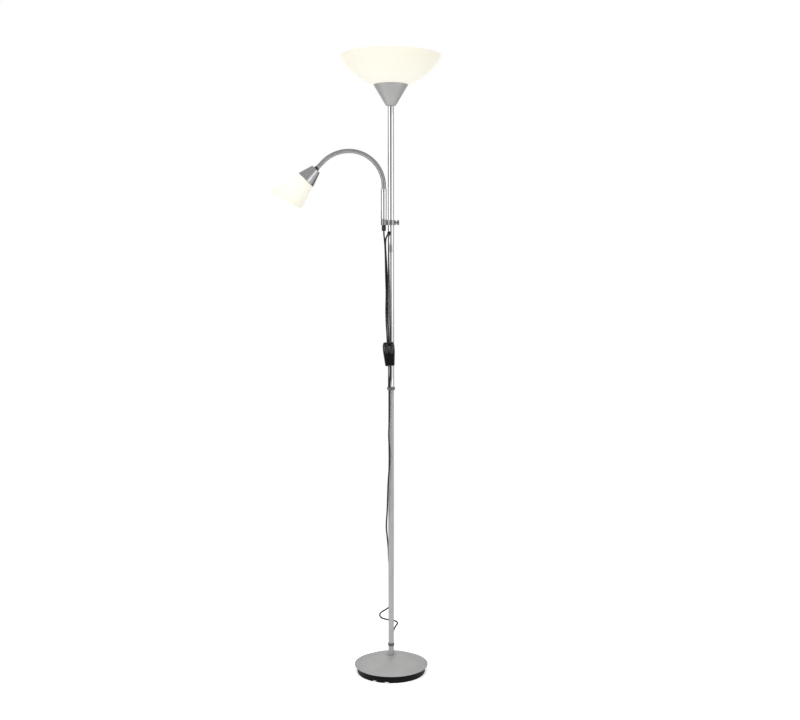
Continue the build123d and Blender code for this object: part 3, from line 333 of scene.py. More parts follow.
# Each plain finish: the material's name, its darker and lighter colour, how many millimetres its
# clouds and its grit are across, the two ends of its roughness, its relief in millimetres, how
# its grit is drawn out, and its other sockets.
PLAIN_FINISHES = {
    # Sprayed lacquer with fine aluminium flake: matt and nearly even, a little cloudy where the
    # spray lay thicker, with an orange peel of about 2 mm that only shows close up.
    "silver": (
        "silver_grey_lacquer", ("silver", 0.95), ("silver", 1.05), 38.0, 2.0, (0.4, 0.52), 0.006,
        EVEN, {"Metallic": 0.25, "IOR": 1.5},
    ),
    # Spun metal with a satin plating. The brush lines run round the cup, drawn ten times as
    # coarse as the real ones to show, and spread its highlight.
    "satin": (
        "satin_plated_spun_metal", ("satin", 0.95), ("satin", 1.04), 9.0, 0.9, (0.2, 0.27), 0.001,
        (1.0, 0.15, 1.0), {"Metallic": 0.9},
    ),
    # Polished chrome on drawn steel tube: a mirror with faint lengthwise draw lines, and a haze
    # where hands have been.
    "chrome": (
        "chrome_plated_drawn_tube", ("chrome", 0.96), ("chrome", 1.0), 30.0, 1.2, (0.09, 0.13),
        0.0006, LENGTHWISE, {"Metallic": 1.0},
    ),
    # Die-cast zinc with a thin dull chrome: the casting's skin stays under it, so it's greyer and
    # less sharp than the tubes.
    "casting": (
        "chrome_plated_die_casting", ("satin", 0.6), ("satin", 0.85), 5.0, 1.6, (0.16, 0.26),
        0.03, EVEN, {"Metallic": 1.0},
    ),
    # Turned steel, oil-blackened: dark with fine lathe lines that catch the light.
    "dark_steel": (
        "oil_blackened_steel", "262627", "454546", 4.0, 0.7, (0.26, 0.4), 0.004, LATHE,
        {"Metallic": 0.8},
    ),
    # Zinc-plated turned steel: pale and a little blue, with lathe lines.
    "zinc": (
        "zinc_plated_steel", "9EA1A3", "C3C6C8", 6.0, 0.6, (0.25, 0.4), 0.004, LATHE,
        {"Metallic": 1.0},
    ),
    # Sand-cast iron under one coat of black paint. The sand's grain stays under the paint, drawn
    # three times as coarse as it is, to show.
    "iron": (
        "black_painted_cast_iron", "030303", "080808", 25.0, 1.5, (0.42, 0.6), 0.12, EVEN,
        {"Specular IOR Level": 0.12},
    ),
    # Closed-cell foam sheet, die cut: dead matt, with cells just under a millimetre.
    "foam": (
        "closed_cell_foam", "0A0A0A", "1C1C1C", 3.0, 0.9, (0.88, 0.95), 0.15, EVEN,
        {"Specular IOR Level": 0.2},
    ),
    # Moulded black rubber with a dull bloom.
    "rubber": (
        "moulded_black_rubber", "040404", "0A0A0A", 5.0, 0.8, (0.3, 0.42), 0.01, EVEN,
        {"Specular IOR Level": 0.3},
    ),
    # Injection-moulded black ABS with a polished skin: it mirrors the room, with slight sinks.
    "black": (
        "polished_black_abs", "030303", "080808", 12.0, 6.0, (0.08, 0.15), 0.01, EVEN,
        {"IOR": 1.6, "Specular IOR Level": 0.8},
    ),
    # Moulded dark grey nylon with a fine spark-eroded grain.
    "grey": (
        "moulded_grey_nylon", "565758", "6E6F70", 6.0, 0.8, (0.3, 0.45), 0.012, EVEN,
        {"IOR": 1.53},
    ),
    # Moulded white PBT of the lampholders: slightly creamy and satin.
    "holder": (
        "moulded_white_pbt", "DEDACF", "E8E4DA", 8.0, 0.8, (0.34, 0.45), 0.01, EVEN,
        {"IOR": 1.57},
    ),
    # Extruded black PVC: smooth, and faintly wavy where it was wound on its drum.
    "cord": (
        "extruded_black_pvc", "040404", "0A0A0A", 10.0, 5.0, (0.32, 0.44), 0.02, EVEN,
        {"Specular IOR Level": 0.34},
    ),
    # Bare rolled aluminium of the bulbs' caps, mottled from handling.
    "cap": (
        "rolled_aluminium", "B0B2B4", "CFD0D1", 4.0, 0.8, (0.22, 0.36), 0.004, EVEN,
        {"Metallic": 1.0},
    ),
    # Bare rolled brass of the contacts and pins: warm and a little mottled.
    "brass": (
        "rolled_brass", "A28347", "C6AB6B", 4.0, 0.8, (0.22, 0.36), 0.004, EVEN,
        {"Metallic": 1.0},
    ),
    # Opal glass envelope of a lit bulb: an even warm white behind a smooth skin.
    "opal": (
        "opal_glass_lit", "E9E5DB", "F1EEE6", 18.0, 4.0, (0.12, 0.18), 0.002, EVEN,
        {"IOR": 1.52, "Emission Color": linear("FFF4DC"), "Emission Strength": 1.4},
    ),
}


def wound_steel():
    # Plated steel strip wound into a hose that holds its bend: greyer than the tubes, because
    # each rib throws light another way. The grooves are painted shade: their colour falls to
    # half the steel's tone.
    material, tree, output = new_material("wound_steel_strip")
    place = shade_node(tree, "ShaderNodeTexCoord").outputs["Object"]
    groove = shade_node(tree, "ShaderNodeAttribute", attribute_name="groove")
    smear = shade_node(
        tree, "ShaderNodeTexNoise", {"Vector": place, "Scale": 1000.0 / 12.0, "Detail": 3.0}
    )
    # Painted shade: the colour falls from the steel's tone to half of it where the groove is
    # deepest.
    colour = shade_node(
        tree,
        "ShaderNodeMix",
        {0: groove.outputs["Fac"], 6: toned(("neck", 1.0)), 7: toned(("neck", 0.5))},
        data_type="RGBA",
    )
    rough = shade_node(
        tree,
        "ShaderNodeMapRange",
        {
            "Value": smear.outputs[0],
            "From Min": 0.3,
            "From Max": 0.7,
            "To Min": 0.26,
            "To Max": 0.36,
        },
    )
    shader = shade_node(
        tree,
        "ShaderNodeBsdfPrincipled",
        {"Base Color": colour.outputs[2], "Metallic": 1.0, "Roughness": rough.outputs[0]},
    )
    tree.links.new(shader.outputs[0], output.inputs[0])
    return material


def lit_shade(name, bulb, near_mm, far_mm):
    """Translucent white polypropylene, moulded with a fine grain and lit by the bulb at bulb.

    The light that comes through falls from the glow to the edge glow, as the distance to the
    bulb grows from near_mm to far_mm.
    """
    material, tree, output = new_material(name)
    place = shade_node(tree, "ShaderNodeTexCoord").outputs["Object"]
    reach = shade_node(
        tree,
        "ShaderNodeVectorMath",
        {0: place, 1: tuple(float(v) * MM for v in bulb)},
        operation="DISTANCE",
    )
    fall = shade_node(
        tree,
        "ShaderNodeMapRange",
        {
            "Value": reach.outputs["Value"],
            "From Min": near_mm * MM,
            "From Max": far_mm * MM,
        },
        interpolation_type="SMOOTHSTEP",
    )
    through = shade_node(
        tree,
        "ShaderNodeMix",
        {0: fall.outputs[0], 6: toned(("glow", 1.0)), 7: toned(("glow_edge", 1.0))},
        data_type="RGBA",
    )
    flow = shade_node(
        tree, "ShaderNodeTexNoise", {"Vector": place, "Scale": 1000.0 / 60.0, "Detail": 2.0}
    )
    skin = shade_node(
        tree,
        "ShaderNodeMix",
        {0: flow.outputs[0], 6: linear("B9B5AA"), 7: linear("C1BDB3")},
        data_type="RGBA",
    )
    mould = shade_node(
        tree, "ShaderNodeTexNoise", {"Vector": place, "Scale": 1000.0 / 1.5, "Detail": 2.0}
    )
    rough = shade_node(
        tree,
        "ShaderNodeMapRange",
        {"Value": mould.outputs[0], "To Min": 0.36, "To Max": 0.48},
    )
    relief = shade_node(
        tree, "ShaderNodeBump", {"Height": mould.outputs[0], "Distance": 0.01 * MM}
    )
    shader = shade_node(
        tree,
        "ShaderNodeBsdfPrincipled",
        {
            "Base Color": skin.outputs[2],
            "Roughness": rough.outputs[0],
            "IOR": 1.49,
            "Specular IOR Level": 0.3,
            "Emission Color": through.outputs[2],
            "Emission Strength": 1.0,
            "Normal": relief.outputs[0],
        },
    )
    tree.links.new(shader.outputs[0], output.inputs[0])
    return material


SHAPED_FINISHES = {
    "neck": wound_steel,
    "bowl": lambda: lit_shade("lit_polypropylene_bowl", (0.0, 0.0, 1742.0), 62.0, 165.0),
    "bell": lambda: lit_shade("lit_polypropylene_bell", HEAD_ORIGIN + HEAD_WAY * 86.0, 30.0, 74.0),
}
_mixed = {}


def finish_named(name):
    """The material of that finish, mixed once."""
    if name not in _mixed:
        if name in PLAIN_FINISHES:
            _mixed[name] = worked_finish(*PLAIN_FINISHES[name])
        else:
            _mixed[name] = SHAPED_FINISHES[name]()
    return _mixed[name]


def dress_node(name, finish):
    """Gives a carried-over node its finish."""
    mesh_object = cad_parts[name]
    material = finish_named(finish)
    if not mesh_object.material_slots:
        mesh_object.data.materials.append(material)
    for holder in mesh_object.material_slots:
        holder.material = material


# ---------------------------------------------------------------- surfaces
def solid_from_grid(name, points, finish, wrap_rows, wrap_columns, sharp=35.0, fields=None):
    """A mesh from a grid of points, rows by columns, closed round its rows or columns.

    Face (i, j) joins points (i, j), (i, j+1), (i+1, j+1) and (i+1, j). Points that fall together
    are merged, so a row that shrinks to one point closes as a pole, and the normals are then
    turned outwards.
    """
    rows, columns = points.shape[:2]
    index = np.arange(rows * columns).reshape(rows, columns)
    i = np.arange(rows if wrap_rows else rows - 1)
    j = np.arange(columns if wrap_columns else columns - 1)
    a = index[np.ix_(i, j)]
    b = index[np.ix_(i, (j + 1) % columns)]
    c = index[np.ix_((i + 1) % rows, (j + 1) % columns)]
    d = index[np.ix_((i + 1) % rows, j)]
    faces = np.stack([a, b, c, d], axis=-1).reshape(-1, 4)
    mesh = bpy.data.meshes.new(name)
    mesh.from_pydata((points.reshape(-1, 3) * MM).tolist(), [], faces.tolist())
    for label, values in (fields or {}).items():
        layer = mesh.attributes.new(label, "FLOAT", "POINT")
        layer.data.foreach_set("value", values.reshape(-1).astype(np.float32))
    tidy = bmesh.new()
    tidy.from_mesh(mesh)
    bmesh.ops.remove_doubles(tidy, verts=tidy.verts, dist=1e-7)
    bmesh.ops.recalc_face_normals(tidy, faces=tidy.faces)
    tidy.to_mesh(mesh)
    tidy.free()
    mesh.shade_smooth()
    mesh.set_sharp_from_angle(angle=math.radians(sharp))
    piece = bpy.data.objects.new(name, mesh)
    bpy.context.scene.collection.objects.link(piece)
    mesh.materials.append(finish_named(finish))
    return piece


def turns(steps):
    """Evenly spaced angles round a circle, in radians."""
    return np.linspace(0, 2 * math.pi, steps, endpoint=False)


def around(origin, axis, square, height, radius, turn):
    """Point (i, t) is origin + h axis + r (cos t Y + sin t square), from grids of h and r."""
    ring = np.cos(turn)[:, None] * SIDE + np.sin(turn)[:, None] * square
    return origin + height[:, :, None] * axis + radius[:, :, None] * ring


def turned(name, profile, finish, origin=FOOT, axis=UP, steps=96, closed=True, sharp=35.0):
    """A turned piece: point (r, h) of the profile goes h along the axis and r out from it.

    A closed profile is a ring's whole section, and an open one starts and ends on the axis.
    """
    section = np.array(profile, float)
    along = axis / np.linalg.norm(axis)
    square = np.cross(along, SIDE)
    points = around(origin, along, square, section[:, 1:], section[:, :1], turns(steps))
    return solid_from_grid(name, points, finish, closed, True, sharp)


def arc(centre, radius, start, stop, count):
    """Points (r, h) on a circle about centre, from angle start to angle stop in degrees."""
    angle = np.radians(np.linspace(start, stop, count))
    return np.c_[centre[0] + radius * np.cos(angle), centre[1] + radius * np.sin(angle)]


def spherical(radius, centre, inner, outer, count):
    """Points (r, h) of a sphere's lower side about height centre, with r from inner to outer."""
    r = np.linspace(inner, outer, count)
    return np.c_[r, centre - np.sqrt(radius**2 - r**2)]


def neck_line(start, count, extra=0.0):
    """Centre line of the neck with its tangents: up, a quarter turn, a shorter turn, straight on.

    Arc length s runs over four stretches: straight to the rise, the first bend's quarter circle,
    the second bend's arc of 46 degrees, then straight to the neck's end and extra beyond it.
    """
    first = NECK_RISE - start
    second = first + NECK_FIRST * math.pi / 2
    third = second + NECK_SECOND * HEAD_SLOPE
    total = third + NECK_STRAIGHT + extra
    s = np.linspace(0, total, count)
    up = np.clip(s, 0, first)
    quarter = np.clip(s - first, 0, second - first) / NECK_FIRST
    lower = np.clip(s - second, 0, third - second) / NECK_SECOND
    ahead = np.clip(s - third, 0, None)
    x = ARM_X - NECK_FIRST * (1 - np.cos(quarter)) - NECK_SECOND * np.sin(lower)
    z = start + up + NECK_FIRST * np.sin(quarter) - NECK_SECOND * (1 - np.cos(lower))
    line = np.c_[x, np.zeros(count), z] + ahead[:, None] * HEAD_WAY
    heading = math.pi / 2 + quarter + lower
    tangent = np.c_[np.cos(heading), np.zeros(count), np.sin(heading)]
    return s, line, tangent


def hose(name, line, tangent, outer, inner, finish, sides=32, fields=None):
    """A tube along a line in the XZ plane: point (i, t) is line + r (cos t Y + sin t N).

    N is square to the tangent in the plane. outer is a grid of radii, and inner the bore; with
    no bore the ends close as poles.
    """
    square = np.c_[-tangent[:, 2], np.zeros(len(line)), tangent[:, 0]]
    turn = turns(sides)
    ring = (
        np.cos(turn)[None, :, None] * SIDE + np.sin(turn)[None, :, None] * square[:, None, :]
    )
    skin = line[:, None, :] + outer[:, :, None] * ring
    if inner:
        bore = (line[:, None, :] + inner * ring)[::-8]
        points = np.concatenate([skin, bore])
    else:
        ends = np.repeat(line[[0, -1], None, :], sides, axis=1)
        points = np.concatenate([ends[:1], skin, ends[1:]])
    grown = {
        key: np.concatenate([value, np.zeros((len(points) - len(skin), sides))])
        for key, value in (fields or {}).items()
    }
    return solid_from_grid(name, points, finish, bool(inner), True, 40.0, grown)


def height_span(node):
    """Lowest and highest point of a node at rest, in millimetres."""
    low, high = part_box(node)
    return low.z / MM, high.z / MM


def drawn_tube(node, radius, x, finish, body):
    """A drawn tube along Z at x in place of a node, its outer ends rounded by 0.35 mm.

    Its section (r, h) goes up the outside and down the bore.
    """
    low, high = height_span(node)
    edge = 0.35
    bore = radius - TUBE_WALL
    rows = np.linspace(low + edge, high - edge, 12)
    profile = np.concatenate(
        [
            arc((radius - edge, low + edge), edge, -90, 0, 4),
            np.c_[np.full(rows.size, radius), rows],
            arc((radius - edge, high - edge), edge, 0, 90, 4),
            [[bore, high], [bore, low]],
        ]
    )
    tube = turned(node + "_drawn", profile, finish, np.array([x, 0.0, 0.0]), sharp=50.0)
    return dressed(tube, body, node)


def softened_copy(node, name, finish, edge_mm, smooth=38.0):
    """A copy of a node's solid with its sharp edges rounded by edge_mm and its turns smoothed."""
    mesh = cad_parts[node].data.copy()
    mesh.name = name
    mesh.materials.clear()
    mesh.materials.append(finish_named(finish))
    merged = bmesh.new()
    merged.from_mesh(mesh)
    bmesh.ops.remove_doubles(merged, verts=merged.verts, dist=2e-6)
    bmesh.ops.recalc_face_normals(merged, faces=merged.faces)
    merged.to_mesh(mesh)
    merged.free()
    mesh.polygons.foreach_set("material_index", np.zeros(len(mesh.polygons), np.int32))
    mesh.shade_smooth()
    piece = bpy.data.objects.new(name, mesh)
    bpy.context.scene.collection.objects.link(piece)
    if edge_mm:
        round_over = piece.modifiers.new("rounded_edges", "BEVEL")
        round_over.width = edge_mm * MM
        round_over.segments = 2
        round_over.limit_method = "ANGLE"
        round_over.angle_limit = math.radians(40)
        round_over.use_clamp_overlap = True
    mesh.set_sharp_from_angle(angle=math.radians(smooth))
    weighted = piece.modifiers.new("flat_faces_stay_flat", "WEIGHTED_NORMAL")
    weighted.mode = "FACE_AREA_WITH_ANGLE"
    weighted.weight = 100
    weighted.keep_sharp = True
    return piece


def crowned(piece, across, drop_mm, cuts):
    """Crowns the front of a rocker: it falls back by drop_mm x s squared, s from -1 to 1 across.

    The mesh is first cut square to across, so that the crown comes out round.
    """
    mesh = piece.data
    places = np.empty(len(mesh.vertices) * 3)
    mesh.vertices.foreach_get("co", places)
    spread = places.reshape(-1, 3) @ np.array(across)
    low, high = spread.min(), spread.max()
    work = bmesh.new()
    work.from_mesh(mesh)
    for share in np.linspace(low, high, cuts + 1)[1:-1]:
        bmesh.ops.bisect_plane(
            work,
            geom=work.verts[:] + work.edges[:] + work.faces[:],
            plane_co=mathutils.Vector(across) * float(share),
            plane_no=mathutils.Vector(across),
        )
    work.to_mesh(mesh)
    work.free()
    places = np.empty(len(mesh.vertices) * 3)
    mesh.vertices.foreach_get("co", places)
    places = places.reshape(-1, 3)
    s = 2 * (places @ np.array(across) - low) / (high - low) - 1
    front = places[:, 1] < places[:, 1].mean()
    places[:, 1] += np.where(front, drop_mm * MM * s**2, 0.0)
    mesh.vertices.foreach_set("co", places.reshape(-1))
    mesh.update()
    mesh.shade_smooth()
    mesh.set_sharp_from_angle(angle=math.radians(30))


def dressed(piece, body, node):
    """Rides a piece on its body, and lets it stand for the solid it replaces.

    A piece that is blended over two bodies gets no body here.
    """
    if body:
        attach(piece, body)
    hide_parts(node)
    return piece


def refinished(node, word, finish, edge_mm, body, smooth=38.0):
    """A softened copy of a node in its place, named for it with a word at the end."""
    piece = softened_copy(node, node + word, finish, edge_mm, smooth)
    return dressed(piece, body, node)


def screw_cap(node, radius, low, height, pitch, origin, axis, body):
    """A bulb's screw cap: radius falls by 0.7 mm in a helical groove of the given pitch.

    Point (h, t) has r = radius - 0.35 (1 - cos(2 pi h / pitch - t)). The groove fades out above
    the lowest fifth, which narrows to the contact, and below the plain rim.
    """
    along = axis / np.linalg.norm(axis)
    turn = turns(64)
    h = np.linspace(0.0, 1.0, 90)
    depth = 0.35 * (1 - np.cos(2 * math.pi * (h[:, None] * height) / pitch - turn[None, :]))
    fade = np.clip((h - 0.2) / 0.08, 0, 1) * np.clip((0.93 - h) / 0.05, 0, 1)
    tip = np.interp(h, [0, 0.06, 0.1, 0.16, 0.24], [0.36, 0.4, 0.62, 0.86, 1.0])
    r = radius * tip[:, None] - depth * fade[:, None]
    points = around(origin, along, np.cross(along, SIDE), (low + h * height)[:, None], r, turn)
    middle = origin + np.array([low, low + height])[:, None] * along
    ends = np.repeat(middle[:, None, :], turn.size, axis=1)
    grid = np.concatenate([ends[:1], points, ends[1:]])
    piece = solid_from_grid(node.replace("_cap", "_screw_cap"), grid, "cap", False, True)
    return dressed(piece, body, node)


def bulb_envelope(name, foot, centre, neck_radius, origin, axis, body, node):
    """A bulb's glass: the foot's points (r, h), then a sphere round the point at height centre.

    The sphere starts where it has the neck's radius and ends on the axis.
    """
    start = math.degrees(math.asin(neck_radius / GLOBE_RADIUS))
    profile = np.concatenate([foot, arc((0.0, centre), GLOBE_RADIUS, -90 + start, 90, 40)])
    profile[-1, 0] = 0.0
    bulb = turned(name, profile, "opal", origin, axis, 72, False)
    return dressed(bulb, body, node)


def bell_wall(turn, inset):
    """Grids of u and r for the bell shade's wall, inset from its outside; u runs along the axis.

    The radius is r = neck + flare u' + belly (1 - s squared), with s from -1 to 1 over the wall.
    Each line ends at the slanting mouth, where u cos a - r sin a sin t is constant. That u is
    found by putting the radius there into this rule twelve times.
    """

    def radius_at(u):
        flared = BELL_NECK_RADIUS + (u - CUP_LENGTH) * BELL_FLARE
        return flared + BELL_BELLY * (1 - ((u - BELL_MIDDLE) / BELL_HALF) ** 2) - inset

    mouth = np.full((1, turn.size), 130.0)
    for _ in range(12):
        slant = radius_at(mouth) * np.sin(turn) * math.sin(MOUTH_TILT)
        mouth = (MOUTH_REACH * math.cos(MOUTH_TILT) + slant) / math.cos(MOUTH_TILT)
    u = CUP_LENGTH + np.linspace(0, 1, 60)[:, None] * (mouth - CUP_LENGTH)
    return u, radius_at(u)


def laid_cord(name, points, node, diameter):
    """A cord along the points of its route, in millimetres, as a curve of round section."""
    data = bpy.data.curves.new(name, "CURVE")
    data.dimensions = "3D"
    data.bevel_depth = diameter / 2
    data.bevel_resolution = 4
    data.resolution_u = 12
    data.use_fill_caps = True
    spline = data.splines.new("NURBS")
    spline.points.add(len(points) - 1)
    places = np.c_[np.array(points, float) * MM, np.ones(len(points))]
    spline.points.foreach_set("co", places.reshape(-1))
    spline.order_u = 3
    spline.use_endpoint_u = True
    data.materials.append(finish_named("cord"))
    cord = bpy.data.objects.new(name, data)
    bpy.context.scene.collection.objects.link(cord)
    return dressed(cord, "stand", node)


# ---------------------------------------------------------------- what a user may change
class LampSizes(bpy.types.PropertyGroup):
    """Sizes that change how the lamp is dressed."""

    rib_pitch: bpy.props.FloatProperty(
        name="Rib pitch", description="Distance between the gooseneck's ribs", default=0.0021,
        min=0.0008, max=0.01, unit="LENGTH",
    )
    rib_depth: bpy.props.FloatProperty(
        name="Rib depth", description="Depth of the grooves between the ribs", default=0.00035,
        min=0.0, max=0.001, unit="LENGTH",
    )
    cord_diameter: bpy.props.FloatProperty(
        name="Cord diameter", description="Outside diameter of the cords",
        default=CORD_DIAMETER * MM, min=0.002, max=0.01, unit="LENGTH",
    )
    rim_bead: bpy.props.FloatProperty(
        name="Rim bead", description="Radius of the rolled edge on the base's dome",
        default=0.0013, min=0.0005, max=0.003, unit="LENGTH",
    )
    floor_size: bpy.props.FloatProperty(
        name="Floor size", description="Side of the floor round the lamp", default=40.0,
        min=2.0, max=100.0, unit="LENGTH",
    )


class LampColours(bpy.types.PropertyGroup):
    """Colours that change how the lamp is dressed."""

    silver: bpy.props.FloatVectorProperty(
        name="Lacquer", description="Silver-grey lacquer of the base, slim tubes and cone",
        subtype="COLOR", size=4, default=linear("AEAEAD"), min=0.0, max=1.0,
    )
    satin: bpy.props.FloatVectorProperty(
        name="Satin plating", description="Plating of the reading light's cup and the castings",
        subtype="COLOR", size=4, default=linear("A6A6A6"), min=0.0, max=1.0,
    )
    chrome: bpy.props.FloatVectorProperty(
        name="Chrome", description="Plating of the upper tubes, the arm and the ferrule",
        subtype="COLOR", size=4, default=linear("D0D0D0"), min=0.0, max=1.0,
    )
    neck: bpy.props.FloatVectorProperty(
        name="Gooseneck", description="Steel of the gooseneck", subtype="COLOR", size=4,
        default=linear("A4A4A4"), min=0.0, max=1.0,
    )
    glow: bpy.props.FloatVectorProperty(
        name="Glow", description="Light that comes through the shades beside the bulb",
        subtype="COLOR", size=4, default=linear("BDBDB3"), min=0.0, max=1.0,
    )
    glow_edge: bpy.props.FloatVectorProperty(
        name="Edge glow", description="Light that comes through the shades far from the bulb",
        subtype="COLOR", size=4, default=linear("B7B5A7"), min=0.0, max=1.0,
    )


# ---------------------------------------------------------------- stage helpers
def seen_rays(tree):
    """1 for rays from the camera, off gloss or through glass, which see plain white, else 0."""
    path = shade_node(tree, "ShaderNodeLightPath").outputs
    first = shade_node(
        tree,
        "ShaderNodeMath",
        {0: path["Is Camera Ray"], 1: path["Is Glossy Ray"]},
        operation="ADD",
        use_clamp=True,
    )
    both = shade_node(
        tree,
        "ShaderNodeMath",
        {0: first.outputs[0], 1: path["Is Transmission Ray"]},
        operation="ADD",
        use_clamp=True,
    )
    return both.outputs[0]


def paper_floor():
    """White paper that keeps the lamp's shadow near it, and turns plain white further out.

    Paper and white are mixed by the distance from the pole, from 0.45 to 1.3 m, and only for
    rays that see it; as a source of light the whole floor is paper.
    """
    material, tree, output = new_material("white_paper_floor")
    seen = seen_rays(tree)
    place = shade_node(tree, "ShaderNodeTexCoord").outputs["Object"]
    reach = shade_node(tree, "ShaderNodeVectorMath", {0: place}, operation="LENGTH")
    away = shade_node(
        tree,
        "ShaderNodeMapRange",
        {"Value": reach.outputs["Value"], "From Min": 0.45, "From Max": 1.3},
        interpolation_type="SMOOTHSTEP",
    )
    white = shade_node(
        tree, "ShaderNodeMath", {0: seen, 1: away.outputs[0]}, operation="MULTIPLY"
    )
    lifted = shade_node(tree, "ShaderNodeMath", {0: seen, 1: 0.5}, operation="MULTIPLY")
    fibre = shade_node(
        tree, "ShaderNodeTexNoise", {"Vector": place, "Scale": 900.0, "Detail": 2.0}
    )
    tone = shade_node(
        tree,
        "ShaderNodeMix",
        {0: fibre.outputs[0], 6: linear("F3F3F3"), 7: linear("F6F6F6")},
        data_type="RGBA",
    )
    paper = shade_node(tree, "ShaderNodeBsdfDiffuse", {"Color": tone.outputs[2]})
    lift = shade_node(
        tree,
        "ShaderNodeEmission",
        {"Color": (1.0, 1.0, 1.0, 1.0), "Strength": lifted.outputs[0]},
    )
    near = shade_node(tree, "ShaderNodeAddShader", {0: paper.outputs[0], 1: lift.outputs[0]})
    far = shade_node(tree, "ShaderNodeEmission", {"Color": (1.0, 1.0, 1.0, 1.0), "Strength": 1.0})
    mix = shade_node(
        tree, "ShaderNodeMixShader", {0: white.outputs[0], 1: near.outputs[0], 2: far.outputs[0]}
    )
    tree.links.new(mix.outputs[0], output.inputs[0])
    return material


def soft_box(name, place, aim, size, brightness, spread):
    """A soft box at place, facing aim; its power is brightness times pi times its area.

    A grid on its front keeps its light within spread degrees.
    """
    data = bpy.data.lights.new(name, "AREA")
    data.shape = "RECTANGLE"
    data.size, data.size_y = size
    data.spread = math.radians(spread)
    data.energy = brightness * math.pi * size[0] * size[1]
    box = bpy.data.objects.new(name, data)
    box.location = place
    way = np.array(aim, float) - np.array(place, float)
    box.rotation_euler = (
        math.pi / 2 + math.atan2(way[2], math.hypot(way[0], way[1])),
        0.0,
        math.atan2(way[1], way[0]) - math.pi / 2,
    )
    box.visible_camera = False
    bpy.context.scene.collection.objects.link(box)


def flat_card(name, tone):
    """A card or cloth that shows one flat tone, and only to rays off gloss."""
    material, tree, output = new_material(name)
    card = shade_node(
        tree, "ShaderNodeEmission", {"Color": (tone, tone, tone, 1.0), "Strength": 1.0}
    )
    tree.links.new(card.outputs[0], output.inputs[0])
    return material


def flag_standing(name, distance, rows):
    """A flag on a circle round the pole, or lying over it: each row is height, left and right.

    Left and right are bearings in degrees from the camera's side, growing towards +X. Corner
    (i, k) is distance (sin b, -cos b) at its height. With no distance, left and right are x in
    metres and are followed by y.
    """
    steps = np.linspace(0, 1, 9)
    if distance:
        bearing = np.radians(rows[:, 1:2] + (rows[:, 2:3] - rows[:, 1:2]) * steps)
        tall = np.repeat(rows[:, :1], steps.size, axis=1)
        grid = np.stack([distance * np.sin(bearing), -distance * np.cos(bearing), tall], axis=-1)
    else:
        x = rows[:, 1:2] + (rows[:, 2:3] - rows[:, 1:2]) * steps
        y = np.repeat(rows[:, 3:4], steps.size, axis=1)
        grid = np.stack([x, y, np.repeat(rows[:, :1], steps.size, axis=1)], axis=-1)
    index = np.arange(grid.shape[0] * grid.shape[1]).reshape(grid.shape[:2])
    faces = np.stack([index[:-1, :-1], index[:-1, 1:], index[1:, 1:], index[1:, :-1]], axis=-1)
    mesh = bpy.data.meshes.new(name)
    mesh.from_pydata(grid.reshape(-1, 3).tolist(), [], faces.reshape(-1, 4).tolist())
    flag = bpy.data.objects.new(name, mesh)
    bpy.context.scene.collection.objects.link(flag)
    return flag


# The camera as fitted to the photograph: place in metres, lens in millimetres, dip below level.
CAMERA_PLACE = (0.0259, -3.2286, 1.1965)
CAMERA_LENS = 50.634
CAMERA_DIP = math.radians(4.893)

# Each soft box's name, place, aim, width and height in metres, brightness and spread in degrees.
# The key lights from the left, the fill from the right, and the top box from over the camera.
# The two low boxes reach under the cone, and the strip draws the bright line on the tubes.
BOXES = (
    ("key_box", (-3.4, -3.6, 2.6), (0.0, 0.0, 1.0), (3.7, 3.7), 1.35, 180.0),
    ("fill_box", (3.6, -3.0, 1.8), (0.0, 0.0, 1.0), (2.4, 3.0), 0.4, 180.0),
    ("top_box", (0.0, -1.7, 4.2), (0.0, -0.2, 0.0), (3.0, 3.0), 2.2, 180.0),
    ("low_left_box", (-2.3, -1.5, 0.12), (0.0, 0.0, 1.7), (1.6, 0.9), 0.4, 50.0),
    ("low_right_box", (2.3, -1.5, 0.12), (0.0, 0.0, 1.7), (1.6, 0.9), 0.25, 50.0),
    ("strip_box", (2.52, -2.15, 1.6), (0.0, 0.0, 1.4), (0.5, 1.5), 2.2, 180.0),
)

# Each flag's name, tone, distance in metres, and rows: the cards and cloths that the chrome
# mirrors, which give it its dark and grey strips.
FLAGS = (
    ("front_card", 0.6, 2.75, [(0.02, -36, 34), (3.4, -36, 34)]),
    (
        "flag_left",
        0.02,
        2.6,
        [(0.02, -20, -14), (1.45, -20, -14), (2.0, -29, -5), (3.4, -29, -5)],
    ),
    ("flag_front_low", 0.1, 2.5, [(0.3, -22, 18), (1.05, -22, 18)]),
    (
        "flag_far_left",
        0.02,
        2.6,
        [(0.02, -136, -88), (1.5, -136, -88), (2.0, -128, -110), (3.4, -128, -110)],
    ),
    ("flag_far_right", 0.05, 2.6, [(0.02, 112, 138), (3.4, 112, 138)]),
    ("flag_back_left", 0.3, 2.7, [(0.02, -174, -142), (0.95, -174, -142)]),
    ("flag_back_right", 0.3, 2.7, [(0.02, 142, 174), (0.95, 142, 174)]),
    ("top_card", 0.62, 0.0, [(3.3, -3.2, 3.2, -3.2), (3.3, -3.2, 3.2, 2.0)]),
)


# ---------------------------------------------------------------- operators
SWITCH_CASES = ("switch_case_front", "switch_case_back")
ROCKERS = ("rocker_uplight", "rocker_reading")
PLUG_PARTS = ("plug_body", "plug_boot")


